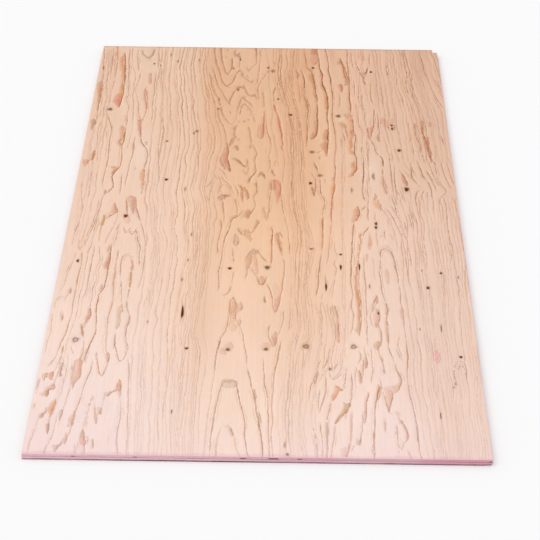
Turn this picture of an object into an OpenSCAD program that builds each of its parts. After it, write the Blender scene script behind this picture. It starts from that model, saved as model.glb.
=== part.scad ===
// Softwood plywood sheet: one flat panel of cross-laid rotary-cut plies,
// trimmed square on all four sides, lying flat with its better face up.
// Millimetres. X runs across the face grain, Y along it, Z up.
// The origin is the middle of the underside.

/* [Sheet] */
// Width, across the face grain (48 in)
sheet_w = 1219; // [300:1:1530]
// Length, along the face grain (96 in)
sheet_l = 2438; // [600:1:3660]

/* [Plies] */
// Number of cross-laid plies, always odd
ply_count = 5; // [3:2:13]
// Thickness of one pressed ply
ply_t = 3.6; // [1.2:0.1:4.5]

/* [Broken corner] */
// Width of the piece missing from the far right corner (0 for a whole corner)
chip_w = 16; // [0:1:60]
// Length of the missing piece, along the grain
chip_l = 22; // [0:1:120]
// How far the break runs off square, across the grain
chip_slant = 1.5; // [0:0.5:6]

/* [Hidden] */

// pressed thickness of the whole panel
sheet_t = ply_count * ply_t;
half_w = sheet_w / 2;
half_l = sheet_l / 2;
fir = [0.93, 0.80, 0.68];

// The piece that is missing from the far right corner. The face ply parts
// along its grain and the plies under it across theirs, so the break is a
// step and not a slant. It runs past both edges so that it cuts cleanly.
module broken_corner() {
    translate([half_w, half_l])
        polygon([
            [-chip_w, 5],
            [-chip_w - chip_slant, -chip_l],
            [5, -chip_l],
            [5, 5]
        ]);
}

// Outline of the trimmed panel, seen from above
module sheet_outline() {
    difference() {
        square([sheet_w, sheet_l], center = true);
        if (chip_w > 0 && chip_l > 0) broken_corner();
    }
}

// The plies are glued and pressed into one solid panel
module plywood_sheet() {
    color(fir)
        linear_extrude(height = sheet_t)
            sheet_outline();
}

plywood_sheet();
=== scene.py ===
import math

import bpy
import numpy as np
from mathutils import Matrix, Vector, kdtree


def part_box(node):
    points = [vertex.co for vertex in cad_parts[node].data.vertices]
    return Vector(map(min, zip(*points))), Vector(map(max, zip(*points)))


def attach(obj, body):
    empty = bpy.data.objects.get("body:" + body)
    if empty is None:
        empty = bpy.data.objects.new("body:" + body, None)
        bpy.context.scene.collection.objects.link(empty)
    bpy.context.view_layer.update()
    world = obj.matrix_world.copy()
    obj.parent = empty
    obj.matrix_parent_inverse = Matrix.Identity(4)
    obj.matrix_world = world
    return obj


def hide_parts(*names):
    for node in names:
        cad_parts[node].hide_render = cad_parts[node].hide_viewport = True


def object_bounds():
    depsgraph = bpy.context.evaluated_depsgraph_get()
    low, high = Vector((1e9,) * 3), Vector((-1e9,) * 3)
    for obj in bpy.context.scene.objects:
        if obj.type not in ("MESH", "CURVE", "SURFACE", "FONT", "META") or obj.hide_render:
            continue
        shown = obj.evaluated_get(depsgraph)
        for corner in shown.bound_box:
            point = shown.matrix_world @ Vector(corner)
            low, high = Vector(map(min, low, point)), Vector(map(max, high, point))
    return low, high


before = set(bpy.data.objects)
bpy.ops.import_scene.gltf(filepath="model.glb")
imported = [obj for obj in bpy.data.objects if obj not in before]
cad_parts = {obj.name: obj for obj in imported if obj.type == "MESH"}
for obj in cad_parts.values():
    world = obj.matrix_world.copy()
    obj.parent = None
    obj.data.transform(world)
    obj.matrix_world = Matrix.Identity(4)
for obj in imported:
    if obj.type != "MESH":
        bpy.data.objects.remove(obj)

CAD_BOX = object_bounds()

# ---------------------------------------------------------------------------
# A sheet of rotary-cut fir plywood, lying flat with its better face up.
# The face is laid out in millimetres: u from the left edge, v from the far
# end. The scene is in metres: x = (u - W/2)/1000, y = (L/2 - v)/1000.
# ---------------------------------------------------------------------------
LO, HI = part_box("plywood_sheet")
W = (HI.x - LO.x) * 1000.0
L = (HI.y - LO.y) * 1000.0
T = (HI.z - LO.z) * 1000.0
PLY = T / 5.0
CHIP_W, CHIP_L, CHIP_SLANT = 16.0, 22.0, 1.5


def lin(r, g, b):
    """8-bit display colour to linear."""
    out = []
    for c in (r, g, b):
        c /= 255.0
        out.append(c / 12.92 if c <= 0.04045 else ((c + 0.055) / 1.055) ** 2.4)
    return tuple(out)


# colours of latewood, by kind
HUE = {
    "b": lin(150, 92, 58),     # brown
    "g": lin(146, 106, 74),    # grey brown
    "o": lin(206, 130, 72),    # orange
    "r": lin(192, 108, 78),    # red brown
    "m": lin(184, 108, 80),    # mauve brown
    "y": lin(178, 120, 62),    # ochre
    "t": lin(212, 160, 126),   # tan
    "k": lin(238, 168, 172),   # pink smudge
}
# colours of wide latewood
FLAME = {
    "g": lin(186, 142, 110),   # grey brown
    "o": lin(214, 142, 92),    # orange
    "r": lin(220, 136, 106),   # red
    "m": lin(202, 134, 100),   # brown
    "y": lin(210, 152, 100),   # ochre
    "t": lin(222, 164, 124),   # tan
    "k": lin(240, 170, 170),   # pink smudge
}
# the same at the near end, paler: partly the veneer's own colour, partly painted light (the near end painted as if lit
# brighter)
FLAME_NEAR = {
    "g": lin(178, 144, 120),
    "o": lin(228, 164, 118),
    "r": lin(220, 146, 120),
    "m": lin(201, 146, 119),
    "y": lin(202, 156, 112),
    "t": lin(222, 174, 140),
    "k": lin(240, 174, 176),
}
ASH = np.array(lin(160, 124, 108))      # what ring lines turn towards at the near end

# ---- growth-ring lines of the face veneer: kind, width, strength, path -----
STROKES = [
    # left cathedral, far half
    ("b", 1.8, .45, "5,10 7,60 10,120 15,180 18,250 22,290"),
    ("b", 1.8, .40, "22,10 25,60 28,100 32,180 35,240 38,320 42,380 46,430 48,480"),
    ("b", 1.8, .40, "38,10 40,60 43,140 45,220 47,280"),
    ("o", 3.8, .62, "51,0 55,50 59,100 61,130"),
    ("r", 2.0, .45, "60,120 60,150 61,180 61,220 62,300 58,400 57,470"),
    ("b", 2.2, .52, "82,55 87,110 90,150 94,200 97,250 99,300 102,360 102,400 98,440 95,492"),
    ("b", 1.8, .55, "97,10 99,60 101,100 104,150 108,190 110,250 115,300 118,350 120,390 117,420 121,450 128,475 130,500 127,540 130,570 131,600 128,630"),
    ("b", 1.8, .45, "107,10 110,60 113,110 118,150 123,180 130,210 134,240 136,270 133,300 128,330"),
    ("b", 1.8, .50, "128,20 130,80 134,110 137,150 142,190 145,204"),
    ("b", 1.6, .40, "148,215 150,260 147,300 143,330 145,370 150,400 155,430 160,460 165,500"),
    ("g", 4.5, .38, "145,20 147,60 155,75 165,90 170,98 178,85 185,60 188,10"),
    ("b", 1.6, .40, "134,300 137,350 135,400 142,440 145,480 147,530 150,600 152,660 150,720 147,790"),
    ("b", 1.6, .40, "205,20 207,80 212,110 217,140"),
    ("b", 1.8, .50, "205,200 206,250 207,300 208,360 209,420 210,480 215,510 215,550 215,595"),
    ("b", 1.8, .45, "225,180 227,230 228,260 231,300 236,340 240,380 240,410 243,450 247,500 247,560 249,620 248,700 248,760 250,800 255,850 258,900 262,950 264,1010"),
    ("m", 2.0, .60, "184,318 176,348 177,380 181,420 186,450 190,490 190,520 187,550 181,590 178,610"),
    ("b", 1.8, .55, "25,290 25,350 24,420 23,470 25,520 27,560 24,590"),
    ("b", 1.6, .40, "40,580 42,610 38,640 38,680 42,720 43,760 40,795"),
    ("b", 2.0, .65, "40,790 38,830 36,858 27,864 14,862"),
    ("b", 2.0, .60, "63,545 68,570 74,600 80,625 83,655 83,700 84,750 86,800 88,850 88,890 86,940 84,990 88,1030 92,1060"),
    ("b", 1.5, .35, "65,650 70,690 75,740 77,790 78,850"),
    ("b", 1.5, .30, "52,680 50,760 51,820 53,880"),
    ("b", 2.2, .65, "130,625 131,690 131,725 127,762 130,800 132,850 132,890 130,915 122,930 115,950 112,975 116,1000 121,1040 113,1060 105,1082"),
    ("r", 2.2, .60, "160,470 163,510 166,545 172,575 178,620 183,660 185,700"),
    ("g", 2.2, .60, "185,700 190,735 200,762 210,780 216,810 216,860 213,900 211,928"),
    ("b", 1.8, .45, "165,690 165,760 168,795 165,850 162,900 160,950 158,1000 160,1040"),
    ("b", 2.2, .60, "216,990 216,1050 213,1090"),
    ("b", 1.8, .45, "143,950 143,1000 145,1050 147,1095"),
    ("b", 1.8, .50, "45,930 44,990 47,1060 46,1120"),
    ("b", 1.6, .40, "20,1000 22,1060 28,1110 31,1150"),
    ("r", 2.2, .60, "35,1140 38,1180 36,1220 33,1260 28,1310 26,1350 24,1405"),
    ("b", 2.0, .60, "95,1085 92,1120 92,1160 88,1200 84,1250 78,1300 72,1350 66,1400"),
    ("b", 1.7, .45, "84,1110 82,1160 81,1210 77,1260 70,1310 62,1360"),
    ("b", 1.6, .40, "62,1150 63,1200 62,1260 58,1310 52,1370 47,1410"),
    ("b", 2.4, .75, "135,1140 140,1160 147,1190 145,1208 132,1215 122,1228 115,1245"),
    ("y", 2.4, .60, "108,1215 110,1250 106,1285 105,1330 106,1380"),
    ("b", 2.0, .50, "152,1205 150,1230 147,1260 140,1300 133,1330 128,1360 123,1395"),
    ("m", 2.2, .65, "200,1105 203,1150 208,1190 215,1222 224,1256"),
    ("b", 2.0, .50, "224,1256 232,1290 240,1330 247,1380 250,1450 252,1520 250,1580 246,1640"),
    ("b", 2.4, .55, "170,1115 174,1150 178,1200 180,1235"),
    ("b", 2.4, .60, "172,1280 178,1302 183,1326 193,1310 205,1336 213,1310 218,1330 225,1370 232,1398 235,1450 238,1520"),
    ("b", 1.8, .50, "160,1300 157,1340 153,1380 150,1406"),
    # left cathedral, near half
    ("b", 2.4, .75, "145,1385 147,1440 148,1480 147,1530 147,1580 146,1620 143,1650 135,1670 132,1700 131,1750 135,1800 138,1840 141,1870 137,1900 130,1940 124,1985 122,2025"),
    ("b", 2.2, .60, "187,1578 185,1540 183,1500 185,1470 190,1455 198,1450 206,1460 212,1480"),
    ("y", 2.6, .70, "212,1480 216,1510 217,1550 218,1590 219,1630 218,1670 217,1700"),
    ("b", 2.2, .65, "217,1700 219,1740 225,1770 231,1800 230,1830 227,1860 229,1890 232,1920 237,1950 234,1985 228,2008 222,2018 217,2008 212,1990 205,1960 200,1935 197,1900 197,1870"),
    ("y", 2.6, .55, "190,1595 195,1640 199,1690 203,1730 207,1765"),
    ("y", 2.4, .65, "170,1420 168,1500 168,1550 170,1600 172,1650 175,1700 173,1750 169,1790 171,1830 174,1870 173,1910 176,1950 182,1985 188,2015 184,2050 180,2080 175,2090 170,2075 163,2040 156,2000 153,1970"),
    ("y", 2.6, .70, "60,1435 64,1490 63,1540 62,1600 62,1650 61,1700 62,1750 62,1800 58,1850 55,1890 48,1930 42,1980 37,2010 24,2048"),
    ("b", 2.0, .55, "95,1400 95,1440 95,1500 95,1550 94,1600 94,1650 92,1675 86,1700 88,1740 90,1770 85,1810"),
    ("b", 1.8, .50, "108,1400 115,1440 118,1480 112,1530 113,1560 117,1590 110,1630 113,1680 112,1730 117,1770 116,1800 108,1830 103,1860"),
    ("b", 2.0, .50, "42,1440 38,1500 32,1550 27,1590 24,1630 14,1662"),
    ("b", 2.0, .50, "46,1630 48,1662 40,1682 36,1700 38,1722"),
    ("g", 2.4, .45, "12,1760 10,1725 18,1702 34,1697"),
    ("b", 1.6, .35, "8,1770 10,1830 13,1880 10,1930 8,1990"),
    ("b", 2.2, .55, "35,1758 38,1790 40,1810 36,1830"),
    ("y", 3.0, .80, "92,1828 98,1845 103,1880 107,1902"),
    ("b", 1.6, .40, "78,1400 80,1460 78,1540 80,1620 76,1700 78,1790 72,1850 66,1920 64,1990"),
    ("b", 1.8, .50, "110,1900 114,1940 112,1985 105,2015"),
    ("b", 1.6, .45, "78,1940 82,1965 92,1988"),
    ("b", 2.0, .55, "146,2005 145,2050 140,2090 134,2130 130,2170 127,2210 122,2250 118,2290 116,2330 110,2370 104,2398"),
    ("b", 2.0, .60, "96,2008 97,2060 100,2110 103,2148"),
    ("b", 1.8, .45, "85,2005 92,2050 95,2090 96,2140 92,2190 88,2240 85,2290"),
    ("b", 2.6, .65, "66,1990 63,2040 62,2070 63,2092"),
    ("b", 1.8, .50, "55,1930 57,1980 55,2060 53,2110 52,2140"),
    ("b", 1.8, .45, "80,2090 75,2150 72,2200 66,2240 62,2275"),
    ("b", 2.0, .55, "47,2046 44,2070 43,2090 41,2106"),
    ("b", 1.8, .50, "14,2080 17,2098 20,2114"),
    ("b", 1.8, .50, "54,2128 54,2150 42,2151 38,2160 39,2182"),
    ("b", 1.6, .40, "28,2158 24,2168 15,2174"),
    ("b", 1.8, .45, "12,2090 9,2140 7,2190"),
    ("b", 2.2, .55, "44,2252 36,2266 28,2285 24,2310 20,2345 16,2390 13,2438"),
    ("b", 2.4, .60, "56,2268 55,2310 57,2352"),
    ("b", 2.0, .55, "75,2250 73,2300 72,2350 67,2390 60,2420 58,2438"),
    ("b", 2.0, .50, "97,2396 88,2410 78,2430"),
    ("b", 2.2, .55, "148,2335 152,2290 156,2235 160,2180 167,2215 173,2260 180,2306"),
    ("b", 2.2, .55, "139,2438 140,2400 146,2350 150,2320"),
    ("b", 2.0, .50, "163,2438 160,2400 165,2372"),
    ("g", 2.0, .45, "180,2370 183,2410"),
    ("b", 2.2, .60, "192,2177 200,2176 206,2166 214,2157 220,2150 222,2132 225,2108"),
    ("b", 2.0, .50, "227,2104 232,2122 234,2148 236,2168 235,2186"),
    ("b", 2.0, .60, "235,2180 239,2220 243,2260 242,2300 240,2340 240,2380 245,2410 249,2438"),
    ("b", 1.8, .45, "193,2150 193,2180 190,2215 188,2252"),
    ("b", 1.9, .55, "242,2000 248,2040 250,2070 254,2120 257,2180 259,2220 262,2280 268,2340 270,2400 272,2438"),
    # middle cathedral, far half
    ("b", 3.0, .46, "405,0 410,60 416,110 421,150 429,185 435,215 440,255 447,285 456,305 462,316 470,302 478,290 484,268 487,240 493,215 500,192 507,186 514,205 517,228 525,248 535,265 547,281 553,268 556,250"),
    ("b", 2.8, .45, "430,0 433,60 438,110 445,150 449,180 455,205 461,221 467,205 474,180 476,150 474,110 473,80"),
    ("g", 3.2, .45, "487,15 483,50 490,66 500,70 503,95 500,130 501,175"),
    ("b", 2.8, .45, "527,150 530,170 535,193 541,175 547,155 557,145 562,120 561,70 557,0"),
    ("b", 2.2, .29, "580,0 579,50 577,90 573,125"),
    ("b", 2.5, .40, "600,185 597,215 590,245 583,262 577,290 573,320 572,350 573,390 575,422"),
    ("b", 3.0, .41, "400,140 408,180 415,220 422,260 428,300 435,330 443,350 450,375 457,395 463,410 470,440 474,449 477,420 481,390 486,362 494,345 501,338 507,322 520,318 526,335 532,360 542,380 552,388 560,378 565,395 572,420"),
    ("b", 3.0, .41, "393,200 400,240 406,290 413,330 420,365 430,395 437,420 442,450 448,490 455,530 463,558 473,580 483,599 493,592 499,570 501,540 503,505 507,470 511,430 517,400 521,394 526,410 533,425 543,435 551,455 556,482"),
    ("g", 2.8, .37, "516,500 518,465 525,450 533,455 539,475 542,505"),
    ("r", 5.6, .56, "587,350 590,380 592,420 593,450 594,476"),
    ("b", 2.8, .45, "640,275 637,310 632,330 628,352 628,400 631,440"),
    ("b", 2.2, .37, "650,318 648,350 645,380 643,402"),
    ("b", 2.0, .26, "627,108 626,150 622,178"),
    ("r", 3.8, .65, "628,440 630,470 634,490 638,510 643,540 648,580 652,620 656,660 659,700 662,740 659,765 664,792"),
    ("b", 2.2, .34, "664,792 666,820 668,850 669,880 666,910 665,960 666,1010"),
    ("b", 2.8, .45, "432,470 438,520 443,555 450,585 458,605 463,640 467,670 470,700 474,740 478,765 483,800 482,850 488,890 492,932"),
    ("b", 2.8, .40, "507,598 500,640 497,690 497,722 490,748 482,770"),
    ("g", 3.0, .37, "503,675 508,705"),
    ("g", 4.4, .37, "512,748 510,770 516,792"),
    ("b", 2.8, .40, "554,500 552,522 547,538"),
    ("b", 2.2, .34, "556,520 560,545 563,570 566,592"),
    ("b", 2.8, .40, "547,620 550,650 551,680 556,695 558,720 556,750 561,772"),
    ("g", 3.2, .45, "560,738 565,755 572,780 578,808 572,830 570,860 573,900 575,925 568,950 560,966 556,985 552,1010"),
    ("m", 3.0, .56, "597,490 597,550 596,600 597,650 594,690 588,707"),
    ("m", 2.2, .39, "580,600 578,640 577,680 584,704"),
    ("b", 2.5, .40, "600,510 605,560 605,600 607,640 612,680 618,695 622,720 622,750 619,790 617,830 619,860 621,890 618,910 612,942"),
    ("g", 4.0, .45, "501,846 515,860 525,875 535,890 541,898 547,872 545,838"),
    ("g", 2.8, .34, "535,905 538,930 543,943 550,930 551,900 550,872"),
    ("b", 3.8, .48, "582,968 588,948 595,934 602,950 609,970"),
    ("g", 5.0, .37, "627,912 632,935 641,960"),
    ("b", 2.2, .29, "630,900 638,880 640,840"),
    # middle of the sheet: swirl and islands
    ("b", 2.0, .50, "452,950 458,975 465,1000 462,1030 458,1060 462,1085"),
    ("b", 1.8, .45, "463,955 472,985 486,1004 497,1030 503,1058 510,1085"),
    ("g", 2.0, .45, "470,1075 464,1050 468,1026 478,1016 490,1026 495,1050"),
    ("g", 3.0, .60, "458,1112 466,1092 478,1084 490,1092 497,1070"),
    ("b", 1.8, .45, "436,985 430,1010 420,1030 413,1052"),
    ("b", 1.8, .45, "446,990 440,1020 434,1050 433,1090 434,1140"),
    ("m", 2.6, .60, "524,1012 532,1030 535,1060 537,1100 541,1132"),
    ("g", 2.0, .45, "507,1005 516,1040 523,1075 520,1100"),
    ("b", 2.2, .55, "582,975 580,1010 582,1040 580,1066 572,1086 573,1105 577,1130 578,1150 573,1175 567,1192 560,1212"),
    ("b", 2.4, .65, "545,1172 540,1182 533,1200 522,1220 510,1231 505,1250 503,1280 497,1310 491,1340 487,1380 485,1420 485,1460 482,1500 477,1540 479,1580 481,1620 477,1650"),
    ("g", 2.4, .50, "512,1108 517,1130 520,1150 522,1190 519,1215"),
    ("g", 2.0, .45, "475,1110 477,1150 480,1190 483,1230 484,1265"),
    ("m", 2.6, .65, "471,1232 475,1260 476,1290 473,1320 470,1360 470,1400 471,1445"),
    ("b", 2.2, .55, "625,990 627,1030 624,1090 622,1130 622,1180 621,1225"),
    ("b", 2.2, .55, "655,985 658,1050 660,1090 663,1130 666,1170 671,1205"),
    ("b", 1.8, .45, "671,1205 676,1250 682,1290 686,1330 688,1390 688,1450"),
    ("m", 2.4, .60, "590,1232 592,1250 583,1270 578,1290 573,1310 567,1319 560,1300 557,1285"),
    ("g", 2.6, .55, "527,1283 533,1305 543,1325 550,1318 552,1285"),
    ("g", 2.2, .50, "523,1308 520,1340 518,1370 521,1388 531,1380 532,1350"),
    ("r", 2.6, .75, "636,1278 636,1320 634,1360 634,1400 634,1450 633,1490 630,1506"),
    ("b", 2.6, .60, "641,1328 647,1320 653,1324 656,1307 663,1325 665,1345"),
    ("b", 2.4, .65, "652,1350 657,1380 662,1420 668,1456"),
    ("r", 2.2, .60, "668,1456 673,1490 674,1520 672,1560 668,1600 667,1640 663,1660 661,1700 657,1730 649,1760 645,1740 640,1712 640,1690 636,1650 627,1622 620,1598"),
    ("b", 2.6, .55, "557,1472 563,1450 571,1425 577,1412 584,1432 592,1414 597,1438 606,1460 616,1476 624,1488"),
    ("b", 2.6, .60, "559,1500 562,1530 560,1560 556,1586"),
    ("b", 2.4, .55, "573,1505 578,1530 584,1545 590,1562 596,1590 602,1610 613,1607 618,1580 623,1560"),
    ("b", 2.2, .55, "514,1400 516,1440 520,1480 518,1500"),
    ("g", 2.2, .45, "521,1535 520,1580 517,1612"),
    ("g", 3.0, .55, "517,1612 515,1640 507,1660 500,1671 489,1666"),
    # middle cathedral, near half
    ("b", 2.5, .72, "533,1700 530,1682 522,1690 517,1702 516,1740 515,1780 513,1812 508,1856 503,1874 496,1896 493,1924 487,1968 485,2005 485,2060 482,2110"),
    ("b", 1.8, .36, "485,2060 482,2100 480,2150 478,2200 475,2260 473,2330 472,2438"),
    ("b", 2.6, .70, "531,1684 533,1700 535,1740 537,1790 543,1810 548,1827 553,1850 558,1880 563,1920 568,1945 572,1980 573,2030"),
    ("b", 2.6, .75, "573,2030 578,2060 585,2090 588,2130 593,2150 598,2180 602,2210 604,2245 610,2280 615,2320 618,2350 622,2390 625,2438"),
    ("g", 3.0, .60, "615,1674 617,1690 619,1711"),
    ("b", 2.2, .50, "637,1815 632,1835 630,1855 632,1880 638,1903 645,1936"),
    ("b", 2.0, .50, "673,1740 672,1780 668,1820 663,1850 657,1880 651,1900"),
    ("b", 2.0, .55, "618,1985 620,2010 621,2040 623,2080 624,2110 628,2140 632,2170 634,2220 636,2270 638,2330 640,2400 640,2438"),
    ("y", 2.4, .65, "668,1900 663,1930 660,1960 657,2000 652,2030 650,2070 648,2110 647,2150 645,2180 645,2230 648,2270 647,2300 645,2350 649,2400 651,2438"),
    ("b", 2.4, .70, "508,2104 506,2130 502,2160 498,2200 494,2240 490,2280 488,2330 486,2380 486,2438"),
    ("b", 2.4, .70, "546,2108 551,2140 556,2180 563,2220 570,2260 574,2300 574,2340 577,2370 580,2400 588,2438"),
    ("b", 3.0, .60, "507,2106 513,2101 526,2103 540,2101 547,2112"),
    ("b", 2.2, .60, "513,2306 510,2330 505,2350 502,2370 503,2400 504,2438"),
    ("b", 2.4, .60, "513,2306 518,2302 522,2312 528,2303 534,2312 539,2326 544,2346 550,2370 553,2395 560,2420 566,2438"),
    # between the middle and right cathedrals
    ("b", 2.6, .68, "735,0 738,70 740,110 743,150 748,165 757,182 762,202 765,240 770,290 773,340 777,400 779,440 778,500 777,540 779,580 779,620 776,662 765,690 755,702"),
    ("b", 2.6, .66, "781,0 783,50 786,100 788,150 793,190 799,215 797,240 796,270 798,300 804,322 809,345 813,380 815,430 815,470 813,500 813,550 815,600 814,640 812,700 810,760 808,812"),
    ("b", 2.2, .59, "722,165 727,200 732,240 735,270 734,310 733,350 735,390 740,420 745,450 747,490 745,530 743,570 744,620 743,660 742,700 741,760"),
    ("r", 2.0, .55, "704,165 708,190 714,220 712,240 714,290 717,340 719,390 718,442"),
    ("g", 3.4, .60, "700,170 705,192 711,222 712,260"),
    ("b", 2.2, .58, "812,0 815,50 818,90 821,130 820,170 824,210 828,260 830,310 832,360 833,410 832,460 831,500 829,550 833,590 836,640 838,690 838,740 836,790 833,850 834,900 833,940 830,975 829,1000"),
    ("r", 3.0, .80, "829,1000 830,1015 828,1050 823,1090 820,1130 818,1160 818,1210 819,1250"),
    ("r", 2.2, .60, "819,1250 815,1280 812,1320 810,1370 806,1420 804,1470 798,1500"),
    ("m", 2.6, .65, "765,858 770,880 775,905 779,935"),
    ("b", 2.2, .54, "753,922 762,945 768,965 771,990 769,1030 764,1080 761,1050 757,1012"),
    ("g", 2.4, .50, "776,800 782,790 790,778"),
    ("b", 2.2, .54, "783,960 784,1000 785,1050 790,1080 797,1110 798,1140 794,1170 791,1210"),
    ("y", 3.2, .80, "791,1210 788,1240 790,1280 790,1320 788,1370 785,1420"),
    ("b", 2.2, .63, "785,1420 782,1460 778,1500 775,1540 773,1590 771,1630 766,1672"),
    ("b", 1.8, .40, "735,1440 738,1500 740,1560 742,1625"),
    ("b", 2.0, .45, "783,1690 780,1740 783,1780 782,1820 778,1855"),
    ("b", 2.0, .50, "796,1545 797,1590 797,1650"),
    ("g", 2.6, .50, "786,1655 783,1685"),
    ("b", 2.0, .50, "830,1462 822,1490 828,1520 826,1550 822,1590 816,1640 813,1670 802,1692"),
    ("g", 2.2, .55, "817,1792 811,1780 808,1742 814,1720 820,1722 826,1752 832,1790"),
    ("m", 2.2, .60, "830,1800 830,1840 831,1880 829,1912"),
    ("b", 1.8, .40, "690,1690 692,1760 690,1820 686,1862"),
    ("b", 1.8, .40, "697,1690 697,1740 698,1790 695,1850"),
    ("y", 2.8, .65, "769,2045 765,2080 760,2110 757,2135"),
    ("b", 2.0, .45, "803,1925 800,1980 798,2030 790,2055 785,2085"),
    ("b", 2.2, .50, "831,2005 820,2030 812,2052"),
    ("g", 2.0, .45, "838,2050 828,2072 812,2090 804,2076"),
    ("b", 2.2, .59, "848,2020 846,2070 843,2110 838,2135 826,2141"),
    ("b", 2.2, .54, "862,2050 862,2100 862,2150 858,2190 848,2212"),
    ("b", 2.0, .45, "857,2202 852,2218 847,2240 836,2253 826,2270 816,2292"),
    ("b", 2.2, .54, "816,2290 812,2310 810,2350 805,2400 803,2438"),
    ("b", 2.0, .45, "806,2190 803,2230 801,2255"),
    ("b", 2.2, .54, "801,2262 795,2290 795,2330 794,2380 791,2438"),
    ("b", 1.8, .40, "753,2295 757,2340 763,2380 764,2438"),
    # right cathedral, far half
    ("b", 2.4, .60, "866,84 869,110 871,140 874,170 876,200 880,230 885,260 888,295"),
    ("b", 2.6, .52, "892,0 890,70 889,120 891,160 893,240 893,300 892,350 892,390 894,430 893,480 892,510"),
    ("g", 2.2, .45, "857,360 858,420 856,470"),
    ("b", 2.0, .50, "903,15 906,80 908,130 912,160"),
    ("b", 2.4, .60, "916,100 924,140 930,180 933,204 938,217 943,240 947,270 950,298"),
    ("b", 2.4, .60, "950,298 948,255 946,212 955,196 958,170 963,148"),
    ("b", 1.9, .40, "974,30 972,60 970,90 969,135"),
    ("b", 2.0, .48, "969,270 968,310 967,350 965,390 968,420 973,442"),
    ("b", 1.8, .50, "908,250 910,300 910,340 909,385"),
    ("b", 1.8, .50, "926,290 925,330 924,370 922,400 928,440 935,470 941,500 940,540 943,580 945,612"),
    ("m", 2.2, .60, "911,430 914,470 918,510 918,550 920,590 925,630 930,660 928,690 926,740"),
    ("b", 2.4, .70, "926,740 925,790 928,840 927,880 926,930 924,980 922,1010 919,1050 922,1085 926,1112"),
    ("b", 1.8, .50, "943,700 944,760 945,820 944,880 943,940 942,1000"),
    ("b", 2.4, .65, "946,608 948,640 949,690"),
    ("b", 2.0, .55, "975,470 972,530 970,570 968,600 962,640 957,690"),
    ("g", 2.6, .70, "957,690 963,720 968,750 971,780 978,805 988,820 992,850 990,890"),
    ("m", 2.6, .70, "990,890 988,920 988,960 987,1000 991,1030 996,1060"),
    ("b", 1.8, .45, "985,500 985,560 986,610 988,650 985,680 988,712"),
    ("b", 2.4, .65, "897,515 899,560 900,600 900,640 905,680 903,730 899,790 905,830 905,880 905,905 895,930 887,952"),
    ("g", 3.4, .55, "862,588 870,605 874,630"),
    ("b", 1.8, .45, "865,640 869,690 870,740"),
    ("b", 1.8, .40, "857,680 858,720 862,770"),
    ("b", 2.2, .60, "905,1158 907,1180 904,1205 896,1228 888,1242"),
    ("b", 2.2, .60, "888,1242 885,1280 882,1310 880,1350 878,1400 876,1450 874,1490 872,1540 870,1590 873,1630 875,1660 870,1700 869,1730 874,1760 872,1800 869,1842 862,1870"),
    ("b", 2.0, .50, "935,960 937,1010 936,1060 936,1100 934,1150 932,1200 934,1240"),
    ("g", 3.0, .55, "928,1140 922,1155 914,1172"),
    ("b", 2.2, .60, "935,1262 928,1285 918,1300 912,1330"),
    ("b", 2.0, .46, "912,1330 908,1360 904,1390 901,1420 898,1450 897,1500 895,1560 894,1600 897,1660 899,1700 897,1760 896,1800 893,1850"),
    ("b", 2.0, .55, "972,1135 978,1160 985,1180 993,1200 1000,1217 1003,1250 1010,1290 1015,1322"),
    ("g", 2.2, .55, "973,1118 975,1145 973,1178"),
    ("m", 2.0, .50, "934,1295 934,1340 930,1370 932,1402"),
    ("g", 2.8, .55, "982,1286 980,1320 982,1348"),
    ("g", 2.0, .40, "965,1335 972,1318 980,1326"),
    # right cathedral, near half
    ("b", 2.2, .60, "962,1450 962,1424 968,1406 980,1399 992,1409 998,1430 1003,1460 1006,1500 1010,1540 1012,1600"),
    ("b", 2.4, .60, "1012,1600 1014,1650 1014,1700 1018,1740 1018,1780 1017,1820 1020,1870 1021,1920 1022,1960 1020,2000 1017,2050 1016,2100 1018,2140 1022,2190 1027,2240 1031,2300 1031,2350 1032,2400 1036,2438"),
    ("b", 2.0, .60, "962,1450 960,1500 957,1550 960,1600 962,1650 968,1690 973,1730 973,1760 969,1790 967,1830 969,1880 970,1930 975,1960 982,2000"),
    ("b", 2.6, .70, "982,2000 988,2040 996,2070 998,2095 990,2122 982,2148"),
    ("b", 1.9, .50, "914,1440 911,1500 912,1560 914,1610 912,1660 913,1720 912,1780 912,1830 911,1880 912,1930"),
    ("b", 1.8, .40, "940,1440 942,1500 940,1540 944,1585"),
    ("g", 2.4, .55, "946,1655 936,1700 928,1740 922,1770 925,1810 932,1832"),
    ("b", 2.4, .65, "946,1725 949,1760 948,1795 943,1806 949,1840 951,1880 946,1915 940,1940 945,1980 950,2000 952,2030 955,2064"),
    ("g", 2.2, .45, "1000,1868 996,1910 999,1950 1006,1998"),
    ("g", 1.8, .40, "990,1930 996,1965 1003,1992"),
    ("b", 2.2, .55, "882,1940 891,1972 885,1998 880,2016"),
    ("b", 2.0, .50, "900,1920 902,1960 908,2000 905,2035"),
    ("m", 2.4, .65, "884,2040 889,2075 888,2110"),
    ("b", 2.0, .55, "918,1930 920,1980 921,2030 918,2070 913,2110"),
    ("b", 2.4, .60, "938,2075 942,2110 948,2150 953,2190 957,2234 962,2215 967,2180 971,2142"),
    ("m", 2.2, .60, "908,2145 902,2180 898,2210 897,2250 893,2288"),
    ("y", 3.0, .80, "937,2108 931,2160 925,2190 921,2230 920,2280 917,2330 914,2380 913,2438"),
    ("b", 2.2, .60, "889,2235 887,2280 885,2320 880,2352 876,2380"),
    ("r", 3.0, .48, "861,2225 857,2270 856,2320 853,2370 848,2400 840,2436"),
    ("m", 2.4, .60, "985,2228 983,2258 991,2276 998,2300 1004,2330 1002,2352 992,2372 988,2398 983,2396 977,2370 976,2330 978,2282"),
    ("b", 2.2, .50, "1003,2400 1008,2425 1010,2438"),
    ("g", 3.0, .50, "946,2274 948,2300"),
    # small marks beside the knots and flames
    ("b", 1.8, .42, "828,1362 826,1395 829,1425 834,1450 836,1462 830,1464"),
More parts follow.
